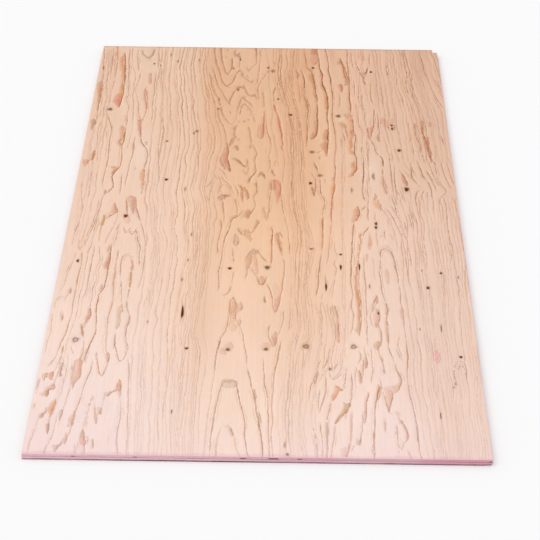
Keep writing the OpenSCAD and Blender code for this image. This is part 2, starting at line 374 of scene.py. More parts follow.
    ("g", 1.8, .45, "850,1388 849,1402 852,1414 850,1425"),
    ("g", 2.0, .42, "798,972 802,984 799,996"),
    ("b", 2.0, .50, "1022,586 1019,602 1021,622 1028,636"),
    ("b", 2.0, .50, "1036,584 1039,602 1038,622 1032,636"),
    ("b", 2.4, .60, "763,850 767,866 770,885 774,905 776,925"),
    ("m", 4.0, .78, "1134,668 1138,690 1140,710 1143,738"),
    ("b", 3.0, .50, "1130,570 1132,598 1134,624"),
    ("b", 2.0, .50, "884,505 888,520 893,535 896,550"),
    ("g", 2.6, .45, "872,600 875,640 878,670 880,700"),
    ("m", 2.0, .50, "1190,640 1194,680 1197,710 1200,735"),
    ("g", 2.0, .50, "986,648 980,662 980,680 986,698"),
    ("b", 1.8, .45, "1140,530 1148,548 1153,560 1150,574"),
    ("b", 2.6, .50, "444,470 449,500 455,528 462,552"),
    ("g", 2.2, .45, "530,222 534,238 537,254"),
    # right-hand band
    ("b", 2.2, .60, "1033,125 1030,150 1029,180 1033,215 1034,245"),
    ("b", 2.0, .50, "1063,150 1063,200 1062,250 1061,300"),
    ("b", 2.2, .55, "1088,10 1092,60 1095,110 1098,160 1100,200 1099,240 1094,280 1096,330 1101,364"),
    ("b", 2.2, .55, "1112,180 1117,230 1112,270 1115,320 1113,370 1119,410"),
    ("b", 2.2, .55, "1075,375 1077,410 1076,445"),
    ("b", 2.2, .55, "1102,400 1104,450 1106,500 1106,550"),
    ("b", 2.2, .55, "1157,46 1160,110 1164,170 1170,226 1173,250 1177,280 1182,320 1189,360 1197,400 1206,435 1213,470"),
    ("b", 2.4, .55, "1207,250 1211,285 1213,310"),
    ("m", 2.6, .60, "1106,560 1107,600 1109,650 1113,695 1120,735 1121,780 1125,820 1131,855"),
    ("b", 2.8, .75, "1134,585 1132,630 1134,665 1140,700 1144,745 1149,795 1153,832 1160,855 1165,880"),
    ("b", 2.4, .60, "1103,840 1110,880 1115,910 1118,940 1127,975"),
    ("b", 2.0, .50, "1085,560 1088,640 1090,700 1095,750 1096,810"),
    ("b", 2.2, .55, "1160,940 1166,980 1176,1010 1185,1032 1187,1052"),
    ("b", 2.6, .60, "1198,1072 1183,1076 1172,1082 1164,1092 1163,1130"),
    ("b", 2.4, .55, "1104,1030 1096,1045 1090,1070 1087,1100 1088,1150"),
    ("b", 2.4, .55, "1172,1320 1181,1350 1183,1400 1178,1460"),
    ("b", 2.0, .50, "1013,1060 1013,1090 1017,1120 1021,1150 1024,1180 1028,1202"),
    ("b", 2.0, .55, "1028,1240 1032,1260 1036,1285 1039,1310 1043,1330 1048,1354"),
    ("b", 2.0, .50, "1045,1000 1048,1040 1050,1080 1055,1124"),
    ("b", 2.2, .55, "1058,1176 1061,1205 1064,1235 1068,1270 1071,1304"),
    ("b", 2.0, .50, "1070,1165 1074,1200 1079,1236"),
    ("b", 1.8, .45, "1023,1018 1028,1040 1034,1060 1038,1078"),
    ("b", 1.8, .45, "1044,1226 1046,1250 1048,1280 1050,1304"),
    ("b", 1.8, .45, "990,1150 1003,1190 1015,1230 1026,1290 1034,1350 1038,1420 1040,1500 1042,1600"),
    ("b", 1.8, .45, "1003,1120 1016,1170 1028,1220 1040,1280 1048,1340 1052,1420 1054,1500"),
    ("b", 2.2, .72, "1150,2100 1146,2060 1150,2010 1162,1990 1175,2000 1180,2040 1176,2090"),
    ("b", 2.0, .62, "1158,2085 1156,2050 1162,2018 1170,2012 1173,2045 1168,2082"),
    # small rings and ticks
    ("g", 2.2, .50, "458,1056 460,1040 466,1026 474,1016 479,1008"),
    ("g", 3.0, .50, "494,1056 497,1072 503,1090"),
    ("g", 2.4, .45, "489,1034 496,1042 503,1052"),
    ("g", 1.8, .40, "955,1176 954,1210 955,1236"),
    ("g", 1.8, .40, "956,1285 955,1330 957,1400"),
    ("g", 4.0, .50, "618,840 620,856 618,868"),
    ("g", 4.0, .50, "633,1274 634,1304"),
    ("b", 4.4, .70, "945,1972 948,1990 952,2010"),
    ("b", 4.2, .70, "947,2020 952,2034 955,2062"),
    ("g", 3.2, .50, "899,638 901,664 905,692"),
    ("g", 2.6, .50, "976,674 982,684 985,700 988,718"),
    ("b", 1.6, .45, "785,2035 788,2052"),
    ("b", 1.6, .45, "790,2070 792,2087"),
    ("b", 1.6, .45, "812,2028 810,2050"),
    ("b", 1.8, .50, "937,2075 940,2090 943,2115 944,2135 947,2152 951,2170 953,2190"),
    ("b", 2.0, .45, "188,2230 187,2245 191,2260"),
    ("b", 1.8, .45, "862,2380 858,2395 853,2412"),
    ("b", 2.2, .50, "134,2390 135,2410 138,2438"),
    # broken rings in the far half of the middle cathedral
    ("g", 4.0, .37, "452,72 452,81 452,90"),
    ("m", 3.6, .40, "455,12 455,19 455,27"),
    ("g", 3.2, .41, "484,20 481,35 480,52"),
    ("b", 1.8, .41, "575,6 574,100 572,180 570,240 568,300"),
    ("b", 4.0, .39, "627,105 626,128 626,148"),
    ("b", 3.4, .41, "510,194 513,220 515,248"),
    ("b", 2.0, .41, "399,310 407,345 416,400 424,450 430,490"),
    ("b", 1.8, .37, "393,330 402,385 406,440"),
    ("b", 2.0, .41, "410,290 420,350 434,412 440,434 446,480"),
    ("b", 1.8, .35, "392,215 400,236 409,258 415,290"),
    ("b", 2.6, .46, "521,482 522,456 526,442 532,453 538,482"),
    ("g", 3.4, .41, "482,500 482,512 483,526"),
    ("g", 3.0, .46, "516,488 515,506 512,528"),
    ("g", 3.0, .48, "540,464 547,490 551,512 546,532"),
    ("g", 2.6, .41, "556,529 561,550 564,570 566,588"),
    ("g", 5.0, .39, "543,558 545,568 546,578"),
    ("g", 4.0, .37, "530,567 531,576 533,586"),
    ("g", 3.6, .37, "511,574 511,582 510,592"),
    ("g", 4.4, .41, "500,606 497,630 495,652"),
    ("b", 3.6, .53, "499,662 502,688 505,712"),
    ("b", 4.2, .51, "495,686 493,710 490,732 482,760"),
    ("g", 3.6, .41, "515,700 515,708 515,716"),
    ("b", 5.6, .46, "509,746 511,766 513,788"),
    ("g", 3.6, .37, "501,746 503,760 504,774"),
    ("b", 5.0, .51, "545,612 547,631 546,648"),
    ("b", 4.4, .48, "549,672 552,684 554,694"),
    ("g", 3.6, .39, "553,750 554,762 556,772"),
    ("g", 3.0, .46, "590,458 590,470"),
    ("b", 3.2, .44, "619,690 620,712 620,738"),
    ("g", 1.8, .32, "606,764 605,786 604,808"),
    ("g", 3.6, .48, "459,824 456,846 460,870 466,890 472,906"),
    ("b", 3.0, .46, "470,896 474,908 477,918"),
    ("b", 3.0, .46, "484,900 488,914 491,930"),
    ("b", 3.0, .46, "571,902 569,912 567,924"),
    ("g", 2.2, .41, "448,894 460,918 472,936 481,964"),
    ("g", 2.2, .37, "436,938 443,956 452,982"),
    ("g", 2.0, .37, "477,950 481,966 485,984"),
    ("g", 6.0, .41, "478,48 482,62 492,66 499,76 502,90"),
    ("g", 5.0, .37, "492,66 496,55 502,44"),
    ("g", 5.4, .39, "495,342 498,330 503,320 509,314"),
    ("g", 6.0, .35, "518,306 520,318 520,334"),
    # broken rings of the left cathedral
    ("m", 5.2, .36, "125,540 127,570 127,602"),
    ("g", 5.0, .40, "182,554 181,572 178,590"),
    ("r", 3.2, .55, "8,856 12,880 15,904"),
    ("r", 3.2, .50, "28,858 22,880 16,906"),
    ("m", 5.6, .46, "164,740 166,765 168,794"),
    ("o", 7.0, .42, "107,902 110,910 112,918"),
    ("b", 2.0, .50, "88,1130 88,1225 85,1312 85,1400 74,1460"),
    ("b", 2.2, .55, "160,1262 156,1312 157,1356 152,1402 148,1400 143,1384"),
    ("y", 4.6, .45, "142,1390 141,1420 139,1452"),
    ("b", 3.4, .55, "174,1288 178,1312 183,1323 190,1306 196,1318 203,1332 209,1318 213,1306 218,1338"),
    ("m", 2.4, .45, "45,1363 46,1395 52,1426 56,1402 60,1426"),
    ("y", 5.0, .36, "64,1360 62,1380 66,1404"),
    ("m", 3.0, .50, "35,1754 31,1778 37,1800 33,1824"),
    ("g", 2.2, .42, "8,1716 12,1698 22,1690 32,1692 36,1712"),
    # broken rings of the right cathedral
    ("o", 8.4, .86, "909,1300 905,1340 902,1380 898,1430 894,1480 890,1530 887,1580 886,1634 888,1668 890,1700"),
    ("b", 2.0, .46, "941,690 942,800 941,900 938,1000 937,1100"),
    ("b", 2.0, .45, "1040,899 1050,930 1059,962 1065,994"),
    ("b", 2.0, .45, "1056,899 1066,926 1077,956 1099,999"),
    ("b", 2.0, .45, "1059,846 1068,876 1077,909 1099,952"),
    ("b", 1.8, .42, "1081,846 1085,878 1088,909 1099,944"),
    ("b", 1.8, .42, "1006,1300 1014,1340 1016,1380 1016,1420"),
    ("b", 2.2, .52, "1083,845 1082,900 1081,940 1090,975 1100,1000 1108,1022"),
    ("b", 2.4, .56, "1100,830 1106,870 1112,912 1120,945 1130,980 1138,1020 1140,1060 1140,1100"),
    ("b", 2.2, .52, "1127,898 1136,930 1146,975 1152,1010 1156,1042"),
    ("b", 2.4, .54, "1160,865 1162,910 1166,960 1176,1000 1185,1026 1187,1046 1180,1064 1170,1076 1163,1092"),
    ("b", 2.0, .48, "1118,1034 1110,1062 1106,1102"),
    ("b", 2.0, .44, "1016,800 1015,860 1015,920 1016,980 1018,1040 1020,1104"),
    ("b", 2.0, .48, "1028,870 1026,930 1025,985 1027,1040 1029,1104"),
    ("b", 1.8, .42, "1140,830 1146,880 1152,930 1160,975 1166,1010"),
    ("b", 1.8, .42, "1180,830 1184,890 1190,945 1198,990 1206,1030"),
    ("b", 1.8, .42, "1202,830 1205,900 1210,960 1216,1000"),
    ("b", 1.8, .42, "1068,1020 1072,1060 1072,1104"),
    ("b", 1.8, .40, "1046,1040 1048,1070 1050,1104"),
    ("b", 1.8, .40, "1128,1040 1124,1070 1126,1104"),
    ("b", 1.8, .42, "1200,1050 1204,1080 1206,1110"),
    ("b", 1.8, .42, "996,1300 1004,1330 1008,1352"),
    # near end
    ("g", 2.6, .62, "56,1970 54,2010 50,2040 44,2072"),
    ("g", 3.0, .60, "42,1986 37,2008 30,2026 22,2046"),
    ("b", 2.2, .55, "56,2086 52,2104 50,2126 52,2144"),
    ("b", 2.0, .50, "73,1975 77,2020 78,2060 78,2084 74,2112 72,2156 70,2186 65,2212"),
    ("b", 2.0, .48, "84,2010 90,2038 90,2082 94,2112 95,2144"),
    ("g", 2.8, .58, "8,2096 7,2130 4,2168"),
    ("m", 4.0, .42, "7,2212 9,2226 9,2242"),
    ("m", 5.0, .66, "158,2176 159,2192 157,2208 155,2236 157,2252"),
    ("t", 8.0, .60, "151,2246 154,2280 154,2310 150,2332"),
    ("y", 4.6, .66, "63,2394 59,2416 56,2438"),
    ("g", 1.8, .40, "219,2352 220,2374 219,2396"),
    ("y", 3.4, .60, "186,2238 187,2250 186,2262"),
    ("y", 3.2, .66, "162,2360 165,2376 165,2396"),
    ("b", 2.2, .65, "796,1980 793,2010 785,2036 781,2074 771,2102"),
    ("b", 2.0, .55, "770,1994 771,2010 765,2048 759,2080 752,2106 746,2154 743,2198"),
    ("b", 2.0, .60, "837,2010 835,2034 827,2056 818,2074 807,2089"),
    ("b", 1.8, .55, "799,2052 802,2072 807,2089"),
    ("b", 2.0, .58, "851,2030 846,2066 841,2110 832,2132"),
    ("g", 3.0, .45, "838,2238 842,2256 843,2272"),
    ("b", 2.2, .62, "791,2071 790,2130 785,2180 776,2216 770,2246"),
    ("b", 2.0, .58, "776,2130 772,2166 770,2206 768,2240"),
    ("b", 2.0, .58, "764,2126 760,2166 752,2200 748,2212"),
    ("b", 2.4, .68, "804,2186 799,2230 793,2276 793,2324 792,2380 791,2436"),
    ("b", 2.2, .62, "752,2284 757,2320 761,2352 764,2390 765,2436"),
    ("b", 2.2, .60, "774,2282 776,2324 780,2366 780,2404 779,2436"),
    ("b", 2.0, .58, "824,1990 822,2012 815,2034 808,2054"),
    ("b", 2.0, .56, "840,1978 838,2008 836,2030"),
    ("b", 2.0, .56, "781,1990 772,2020 765,2046"),
    ("b", 2.2, .56, "897,1978 895,2020 893,2074"),
    ("r", 4.2, .55, "912,2352 912,2396 910,2428"),
    ("g", 2.4, .55, "944,2264 946,2290 947,2328"),
    ("m", 6.0, .40, "979,2226 983,2240 982,2258"),
    ("g", 2.6, .55, "1000,2398 1004,2416 1009,2440"),
    ("b", 2.0, .50, "974,2290 974,2350 976,2390 980,2425"),
    ("b", 1.8, .45, "878,2016 872,2080 873,2140"),
]

# ---- wide latewood (flames and patches): kind, strength, "u,v,half-width" --
PATCHES = [
    ("g", .76, "15,590,7 16,608,7 15,630,4 15,648,2"),
    ("m", .55, "184,226,4 186,260,5 189,300,3"),
    ("m", .65, "176,350,3 178,380,5 182,420,6 186,450,4 190,490,3"),
    ("o", .70, "37,800,3 36,830,5 34,855,5"),
    ("r", .30, "176,1232,8 182,1250,8"),
    # middle band
    ("g", .35, "482,68,5 498,68,5"),
    ("g", .35, "480,745,4 477,775,5"),
    ("m", .50, "589,605,5 588,640,8 587,675,7 586,700,2"),
    ("m", .18, "645,1620,8 650,1660,10 652,1690,9"),
    ("g", .50, "547,1806,4 547,1822,3"),
    ("m", .72, "650,1868,4 647,1885,6 645,1905,7 645,1924,4"),
    ("t", .40, "520,1820,9 528,1840,9"),
    ("g", .50, "508,2110,4 515,2106,6 530,2108,6 543,2114,6"),
    ("g", .35, "536,2124,4 516,2122,5"),
    ("r", .50, "537,2325,4 541,2342,4"),
    ("y", .70, "594,2145,3 597,2175,4"),
    ("y", .60, "609,2255,4 612,2285,4"),
    ("r", .35, "500,1958,7 508,1966,5"),
    ("g", .32, "512,1936,5 520,1928,7 528,1936,5"),
    ("r", .32, "614,1936,6 622,1928,7 632,1934,4"),
    # between
    ("o", .60, "776,450,2 775,520,3 775,550,3"),
    ("m", .64, "740,415,4 743,450,5 746,485,3"),
    ("g", .35, "743,168,3 750,176,4"),
    ("o", .65, "827,965,3 827,1000,3 824,1035,5 821,1070,3"),
    ("r", .58, "826,1800,3 825,1840,5 826,1880,5 828,1908,2"),
    ("y", .55, "766,2055,3 762,2085,4 757,2108,2"),
    # right band
    ("g", .55, "933,200,4 943,206,6 952,198,4"),
    ("g", .30, "947,215,5 948,240,4"),
    ("r", .30, "930,30,3 931,80,3"),
    ("r", .30, "944,30,4 946,75,4"),
    ("m", .46, "872,527,5 878,535,5 882,545,4"),
    ("r", .50, "629,470,4 631,485,5 633,500,3"),
    ("r", .30, "1000,560,9 1012,590,10 1030,560,7"),
    ("t", .70, "967,1800,3 967,1850,4 968,1900,3"),
    ("m", .35, "920,1437,4 918,1465,4"),
    ("g", .28, "977,1517,3 978,1550,5 979,1590,4"),
    ("g", .25, "1010,1745,4 1016,1770,4"),
    ("m", .22, "963,1412,5 970,1401,8 979,1397,9 988,1403,8 994,1415,5"),
    ("g", .32, "962,1412,5 964,1425,5 963,1440,4"),
    ("m", .28, "990,1409,7 996,1425,6 999,1444,4"),
    ("k", .60, "1099,1958,8 1100,1971,10 1101,1985,7"),
]

# ---- flames with a drawn outline: kind, strength, "u,v" round the edge; ----
# ---- a later one lies over an earlier one                               ----
OUTLINES = [
    # left cathedral
    ("o", .85, "79,52 83,72 86,100 90,135 94,165 95,195 92,226 88,214 82,204 77,190 72,165 68,140 66,112 66,92 71,86 75,70"),
    ("t", .55, "66,125 72,130 76,160 80,190 76,205 70,190 66,160"),
    ("r", .60, "78,60 83,72 86,100 90,135 93,160 88,160 84,130 80,95"),
    ("o", .55, "84,205 92,222 97,245 98,270 94,285 90,300 86,290 84,260 80,235"),
    ("o", .80, "88,305 95,312 100,345 101,380 99,402 94,400 90,385 87,360 86,335"),
    ("r", .95, "84,380 96,385 100,410 99,440 97,460 95,474 92,490 84,474 78,462 72,450 68,440 72,425 74,410 78,395"),
    ("r", .50, "8,864 20,862 26,868 24,885 18,905 14,908 10,890"),
    ("m", .72, "6,298 12,288 17,276 20,298 23,318 23,345 21,362 22,385 24,415 24,450 22,500 19,470 16,436 14,410 12,390 8,370 6,340 6,318"),
    ("o", .62, "111,622 118,620 123,640 124,670 127,690 129,705 125,722 121,706 116,706 113,690 110,668 109,645"),
    ("y", .72, "117,708 122,716 122,726 118,736 124,748 127,764 118,766 112,748 113,732 115,720"),
    ("y", .78, "118,904 122,918 130,906 131,916 126,926 120,938 116,932 114,945 112,968 108,960 109,940 111,926 116,918"),
    ("o", .40, "106,904 113,904 112,918 106,920"),
    ("m", .62, "164,575 176,580 182,620 182,650 184,680 186,706 182,704 178,680 174,650 171,625 166,606"),
    ("m", .60, "162,740 166,745 168,765 171,785 165,792 162,780 161,760"),
    ("y", .45, "197,734 208,734 209,756 199,758"),
    ("t", .92, "206,922 213,924 215,945 216,975 214,1010 213,1050 210,1040 208,1000 202,985 199,960 200,940"),
    ("g", .28, "177,908 184,912 185,926 178,926"),
    ("m", .60, "92,1058 100,1062 102,1080 97,1094 92,1084"),
    ("o", .72, "132,1140 136,1156 141,1172 146,1190 145,1204 138,1206 134,1198 130,1212 120,1216 118,1206 126,1196 128,1176 128,1158"),
    ("m", .70, "134,1146 141,1172 146,1190 145,1204 139,1200 137,1176"),
    ("t", .45, "118,1212 132,1206 132,1220 124,1236 116,1240 112,1228"),
    ("y", .70, "104,1214 109,1222 112,1244 112,1268 106,1284 100,1286 98,1266 104,1250 105,1232"),
    ("m", .62, "168,1104 178,1092 190,1104 197,1106 200,1130 200,1165 198,1185 198,1212 192,1208 190,1180 186,1162 178,1156 176,1180 174,1190 172,1160 169,1135"),
    ("m", .60, "180,1112 190,1112 192,1140 190,1158 182,1150"),
    ("m", .55, "200,1166 206,1176 212,1196 218,1220 224,1244 226,1254 218,1246 212,1222 206,1202 202,1186"),
    ("m", .78, "143,1440 147,1450 149,1475 147,1500 147,1525 146,1540 142,1538 139,1530 134,1534 130,1520 131,1500 135,1485 139,1468 140,1452"),
    ("r", .55, "210,1470 216,1484 221,1510 222,1540 218,1548 215,1520 212,1495"),
    ("t", .60, "212,1545 220,1560 222,1590 222,1620 219,1640 216,1620 212,1590 212,1565"),
    ("y", .50, "134,1620 140,1632 142,1650 136,1662 130,1658 132,1640"),
    ("r", .55, "42,1645 48,1650 49,1668 44,1676 40,1666"),
    ("r", .70, "110,1740 114,1748 119,1770 119,1786 115,1802 111,1806 108,1822 104,1840 106,1806 107,1780 108,1760"),
    ("m", .80, "113,1776 119,1772 119,1786 115,1804 112,1796"),
    ("y", .72, "93,1828 98,1834 102,1846 104,1866 108,1886 107,1898 102,1884 98,1866 95,1852"),
    ("y", .55, "192,1745 198,1738 202,1760 203,1790 206,1812 204,1840 198,1856 194,1850 194,1810 192,1780"),
    ("m", .50, "201,1722 206,1736 209,1762 205,1762 202,1744"),
    ("m", .55, "226,1780 232,1786 234,1806 233,1822 228,1838 225,1848 224,1834 227,1812"),
    ("t", .50, "108,1960 114,1950 118,1975 128,1940 130,1965 128,1995 126,2024 118,2010 112,2012 108,2000"),
    ("y", .62, "52,1944 58,1950 58,1970 54,1980 52,1962"),
    ("m", .50, "194,1910 200,1918 202,1945 199,1956 196,1940"),
    ("m", .50, "34,1788 40,1786 42,1802 38,1814 34,1806"),
    ("m", .45, "150,1968 154,1980 156,1998 152,2004 149,1990"),
    # left cathedral, near end
    ("y", .75, "13,2080 20,2076 28,2078 30,2094 26,2092 22,2100 20,2112 17,2100 14,2090"),
    ("r", .92, "28,2078 36,2070 42,2070 42,2088 41,2100 42,2106 36,2104 31,2096 29,2090"),
    ("r", .68, "30,2140 40,2132 50,2128 54,2140 53,2150 45,2150 38,2152 32,2158 28,2156"),
    ("y", .98, "30,2160 38,2152 40,2168 38,2182 33,2184 30,2174"),
    ("o", .50, "15,2172 24,2168 30,2158 30,2174 27,2182 17,2182"),
    ("m", .72, "58,2028 66,2030 65,2050 63,2070 66,2086 62,2090 60,2078 56,2090 55,2070 57,2050"),
    ("t", .88, "93,2014 108,2002 116,2016 117,2060 118,2088 112,2106 106,2122 102,2148 98,2130 96,2100 95,2050"),
    ("r", .72, "103,2010 114,2014 115,2060 117,2084 108,2092 104,2070 102,2040"),
    ("o", .90, "61,2198 64,2212 62,2240 59,2262 55,2277 50,2263 45,2252 41,2242 45,2230 50,2214 55,2206"),
    ("m", .55, "40,2236 43,2246 40,2266 35,2262 38,2248"),
    ("m", .72, "25,2263 36,2262 37,2276 32,2284 26,2280"),
    ("m", .80, "48,2308 57,2308 59,2330 57,2350 53,2344 50,2326"),
    ("m", .58, "78,2244 86,2244 86,2266 83,2290 79,2278 77,2262"),
    ("t", .75, "118,2252 122,2266 122,2285 119,2312 113,2304 108,2320 104,2316 106,2298 105,2284 110,2268"),
    ("t", .80, "104,2346 109,2356 110,2378 107,2392 99,2390 98,2378 102,2364"),
    ("m", .75, "98,2386 96,2400 91,2412 86,2424 82,2430 79,2416 75,2402 84,2398 92,2396"),
    ("y", .80, "147,2328 153,2345 156,2366 152,2384 148,2392 143,2374 141,2354"),
    ("r", .82, "146,2372 154,2370 160,2380 159,2400 152,2404 147,2394"),
    ("t", .38, "149,2400 160,2404 161,2438 150,2438"),
    ("g", .45, "174,2370 179,2374 183,2410 178,2410"),
    ("r", .58, "168,2232 176,2234 180,2258 182,2284 181,2304 177,2298 174,2275 171,2252"),
    ("t", .50, "176,2232 184,2232 186,2250 180,2262 177,2250"),
    ("m", .60, "185,2232 190,2236 190,2258 186,2264"),
    ("m", .75, "180,1974 186,1973 190,1986 191,2004 187,2018 184,2022 181,2005 180,1990"),
    ("o", .88, "226,2103 230,2112 232,2128 233,2148 230,2158 225,2154 216,2160 207,2161 214,2152 221,2146 221,2128 223,2112"),
    ("r", .40, "224,2156 231,2158 236,2170 234,2186 229,2178"),
    ("g", .55, "191,2162 200,2163 206,2158 208,2168 204,2178 192,2178"),
    # middle band
    ("g", .55, "474,52 480,50 484,60 490,58 497,46 500,50 495,62 499,74 503,86 498,88 494,76 488,72 480,74 475,66"),
    ("g", .45, "495,318 500,307 512,312 520,305 523,322 520,334 514,322 506,320 502,332 498,342 493,338 497,328"),
    ("m", .72, "468,770 482,772 485,800 480,812 481,832 478,852 485,860 488,880 490,900 495,915 490,931 484,918 478,906 473,913 468,900 462,885 456,868 455,845 460,830 464,808 466,788"),
    ("g", .62, "494,836 506,834 512,850 518,848 522,862 528,868 532,880 541,890 536,897 528,884 520,876 512,868 509,856 502,854 496,848"),
    ("g", .60, "592,924 598,938 604,946 606,962 608,976 602,972 599,958 594,946 588,948 584,962 582,956 586,940"),
    ("g", .55, "624,908 630,912 633,930 630,944 626,936 624,922"),
    ("r", .64, "640,984 648,980 654,1010 657,1050 655,1080 652,1100 649,1118 648,1138 645,1120 642,1096 639,1070 638,1040 637,1015"),
    ("m", .72, "621,986 632,982 643,984 642,1010 641,1040 638,1058 632,1046 627,1040 623,1052 620,1030"),
    ("g", .58, "573,1004 580,998 583,1008 580,1022 575,1026 573,1014"),
    ("m", .50, "518,1014 528,1016 534,1032 546,1034 549,1050 545,1058 540,1050 537,1064 538,1104 534,1112 530,1090 529,1060 528,1044 522,1026"),
    ("m", .66, "545,1034 550,1050 556,1072 557,1096 552,1108 548,1092 546,1070 543,1052"),
    ("m", .74, "468,1076 474,1082 482,1084 490,1078 490,1092 482,1096 480,1110 474,1108 472,1092"),
    ("g", .62, "459,1098 468,1094 474,1104 470,1116 463,1119 459,1110"),
    ("g", .40, "507,1106 516,1108 518,1120 512,1127 508,1118"),
    ("t", .40, "528,1202 540,1186 546,1190 546,1216 538,1228 528,1222"),
    ("m", .82, "547,1184 556,1172 563,1180 564,1196 560,1214 557,1230 552,1222 545,1222 545,1200"),
    ("g", .50, "498,1222 512,1214 522,1208 526,1216 518,1226 510,1228 508,1250 501,1254"),
    ("y", .40, "600,1152 606,1156 608,1180 614,1190 618,1210 617,1242 612,1238 606,1216 602,1190"),
    ("m", .50, "584,1234 592,1248 590,1262 582,1282 576,1304 573,1300 577,1276 580,1254"),
    ("g", .42, "524,1282 532,1284 540,1302 548,1310 556,1330 566,1340 572,1350 568,1368 560,1352 552,1342 544,1330 536,1318 530,1304"),
    ("g", .40, "516,1316 520,1318 522,1342 528,1330 531,1350 529,1382 524,1372 520,1356 516,1382 513,1370 514,1340"),
    ("m", .75, "639,1318 650,1312 652,1330 656,1350 661,1370 662,1395 663,1420 658,1420 654,1400 650,1384 646,1362 642,1340"),
    ("m", .45, "541,1290 552,1296 560,1310 567,1330 566,1362 557,1350 548,1330 543,1310"),
    ("g", .52, "562,1424 575,1424 574,1408 580,1406 584,1424 588,1412 592,1420 595,1440 586,1436 580,1442 570,1436"),
    ("m", .58, "554,1460 562,1452 568,1438 573,1446 573,1480 569,1500 567,1520 560,1524 556,1500 553,1478"),
    ("r", .42, "578,1452 588,1456 590,1490 594,1515 595,1538 589,1552 584,1532 580,1500"),
    ("m", .55, "596,1570 604,1560 611,1566 615,1590 613,1606 604,1610 596,1600"),
    ("m", .60, "646,1690 658,1676 661,1700 658,1720 653,1740 648,1762 645,1742 640,1722 644,1712"),
    ("t", .78, "512,1700 520,1690 530,1688 534,1710 536,1740 536,1770 534,1795 524,1792 516,1782 514,1750 513,1720"),
    ("m", .55, "542,1716 548,1706 554,1730 553,1746 546,1753 536,1753 540,1736"),
    ("g", .55, "612,1676 616,1672 620,1695 618,1710 613,1702"),
    # between
    ("m", .92, "758,0 779,0 779,30 780,50 774,62 762,60 758,40"),
    ("m", .52, "759,52 772,56 780,52 784,90 782,110 776,128 768,140 760,136 757,110 758,80"),
    ("m", .66, "752,215 757,200 762,220 766,240 769,262 772,300 772,345 766,348 762,310 758,280 752,258 748,240"),
    ("m", .62, "764,344 771,344 776,380 778,410 774,420 770,396 764,380"),
    ("m", .85, "790,185 796,192 801,206 804,220 799,236 794,250 788,238 790,210"),
    ("k", .50, "789,238 799,234 803,262 802,286 795,292 790,270"),
    ("m", .72, "786,296 798,292 804,304 808,320 811,342 804,346 796,334 792,318"),
    ("y", .82, "802,344 811,344 813,380 806,384 802,372"),
    ("o", .82, "803,380 812,376 815,390 813,405 815,430 810,440 804,434 803,405"),
    ("y", .84, "803,434 813,438 817,455 817,472 812,482 806,480 803,458"),
    ("m", .75, "768,560 780,558 782,590 780,620 776,650 774,676 766,690 756,698 750,706 752,690 760,676 764,660 767,640 766,610 768,585"),
    ("g", .60, "756,668 764,650 768,664 766,682 756,694 750,702"),
    ("m", .72, "798,640 806,630 814,638 815,664 812,690 809,706 802,714 797,700 794,680 796,656"),
    ("m", .82, "800,714 810,728 809,752 808,780 808,812 804,818 801,796 794,774 788,764 785,744 786,732 796,726"),
    ("k", .30, "822,18 838,16 838,44 826,56 820,40"),
    ("o", .90, "815,2117 823,2120 830,2132 836,2137 825,2140 822,2153 818,2166 812,2180 806,2189 803,2178 804,2165 809,2154 813,2140 814,2128"),
    ("r", .80, "804,2162 812,2160 814,2168 809,2186 804,2180"),
    ("y", .95, "838,2196 845,2200 854,2198 856,2204 850,2220 845,2238 837,2246 830,2254 823,2268 817,2284 812,2290 814,2274 821,2256 831,2236 837,2216"),
    # right band
    ("m", .66, "862,76 868,92 874,130 883,188 892,250 891,290 877,294 874,245 870,188 867,140 860,130 850,126 852,112 858,98"),
    ("g", .74, "862,78 868,94 869,118 860,128 850,126 852,112 858,98"),
    ("m", .78, "860,284 868,298 870,318 868,338 864,354 861,344 862,320 858,308 853,298"),
    ("r", .66, "884,560 890,554 898,556 900,572 896,582 886,584"),
    ("r", .35, "885,582 897,580 898,610 899,636 886,638"),
    ("r", .66, "884,636 892,626 900,640 900,664 894,692 886,692 883,664"),
    ("m", .85, "889,640 894,640 894,658 890,658"),
    ("o", .68, "886,690 891,698 892,722 895,736 891,752 889,770 891,788 899,786 902,795 892,802 886,798 884,770 885,740 884,716"),
    ("t", .30, "874,640 884,640 885,720 886,800 878,800 874,720"),
    ("o", .78, "886,862 894,854 898,870 898,890 906,892 907,908 900,918 896,928 892,948 888,952 884,940 876,958 880,936 886,920 888,904 884,890"),
    ("y", .70, "944,622 952,616 957,626 956,650 954,680 952,698 946,696 944,670"),
    ("r", .55, "957,626 962,620 964,608 969,604 967,630 960,650 956,664"),
    ("m", .60, "989,560 995,542 1001,552 998,572 994,586 988,578"),
    ("m", .45, "845,580 860,578 870,588 877,610 872,626 868,612 862,616 858,600 850,596"),
    ("m", .62, "984,950 988,962 990,980 994,1000 998,1030 999,1050 996,1064 990,1052 986,1030 982,1012 981,990 983,970"),
    ("y", .60, "880,1212 888,1202 890,1230 884,1246 879,1242"),
    ("o", .88, "898,1142 904,1152 907,1170 908,1190 905,1206 900,1218 896,1232 888,1236 885,1226 886,1206 889,1186 891,1162 894,1150"),
    ("m", .92, "899,1150 906,1160 908,1190 904,1206 898,1218 897,1190"),
    ("m", .80, "900,1148 906,1158 907,1182 903,1198 898,1196 899,1168"),
    ("r", .42, "931,1312 936,1340 938,1370 934,1392 930,1406 926,1384 928,1350"),
    ("t", .78, "957,1062 962,1075 966,1100 968,1125 974,1130 972,1152 966,1154 960,1152 955,1142 952,1115 954,1095 956,1080"),
    ("r", .40, "962,1096 968,1100 970,1125 968,1148 962,1130"),
    ("g", .80, "954,1090 958,1090 959,1106 955,1110"),
    ("m", .86, "1049,926 1054,936 1058,950 1062,972 1066,996 1066,1012 1058,1006 1052,996 1048,970"),
    ("m", .72, "1134,672 1140,680 1144,700 1145,730 1141,745 1137,720 1134,695"),
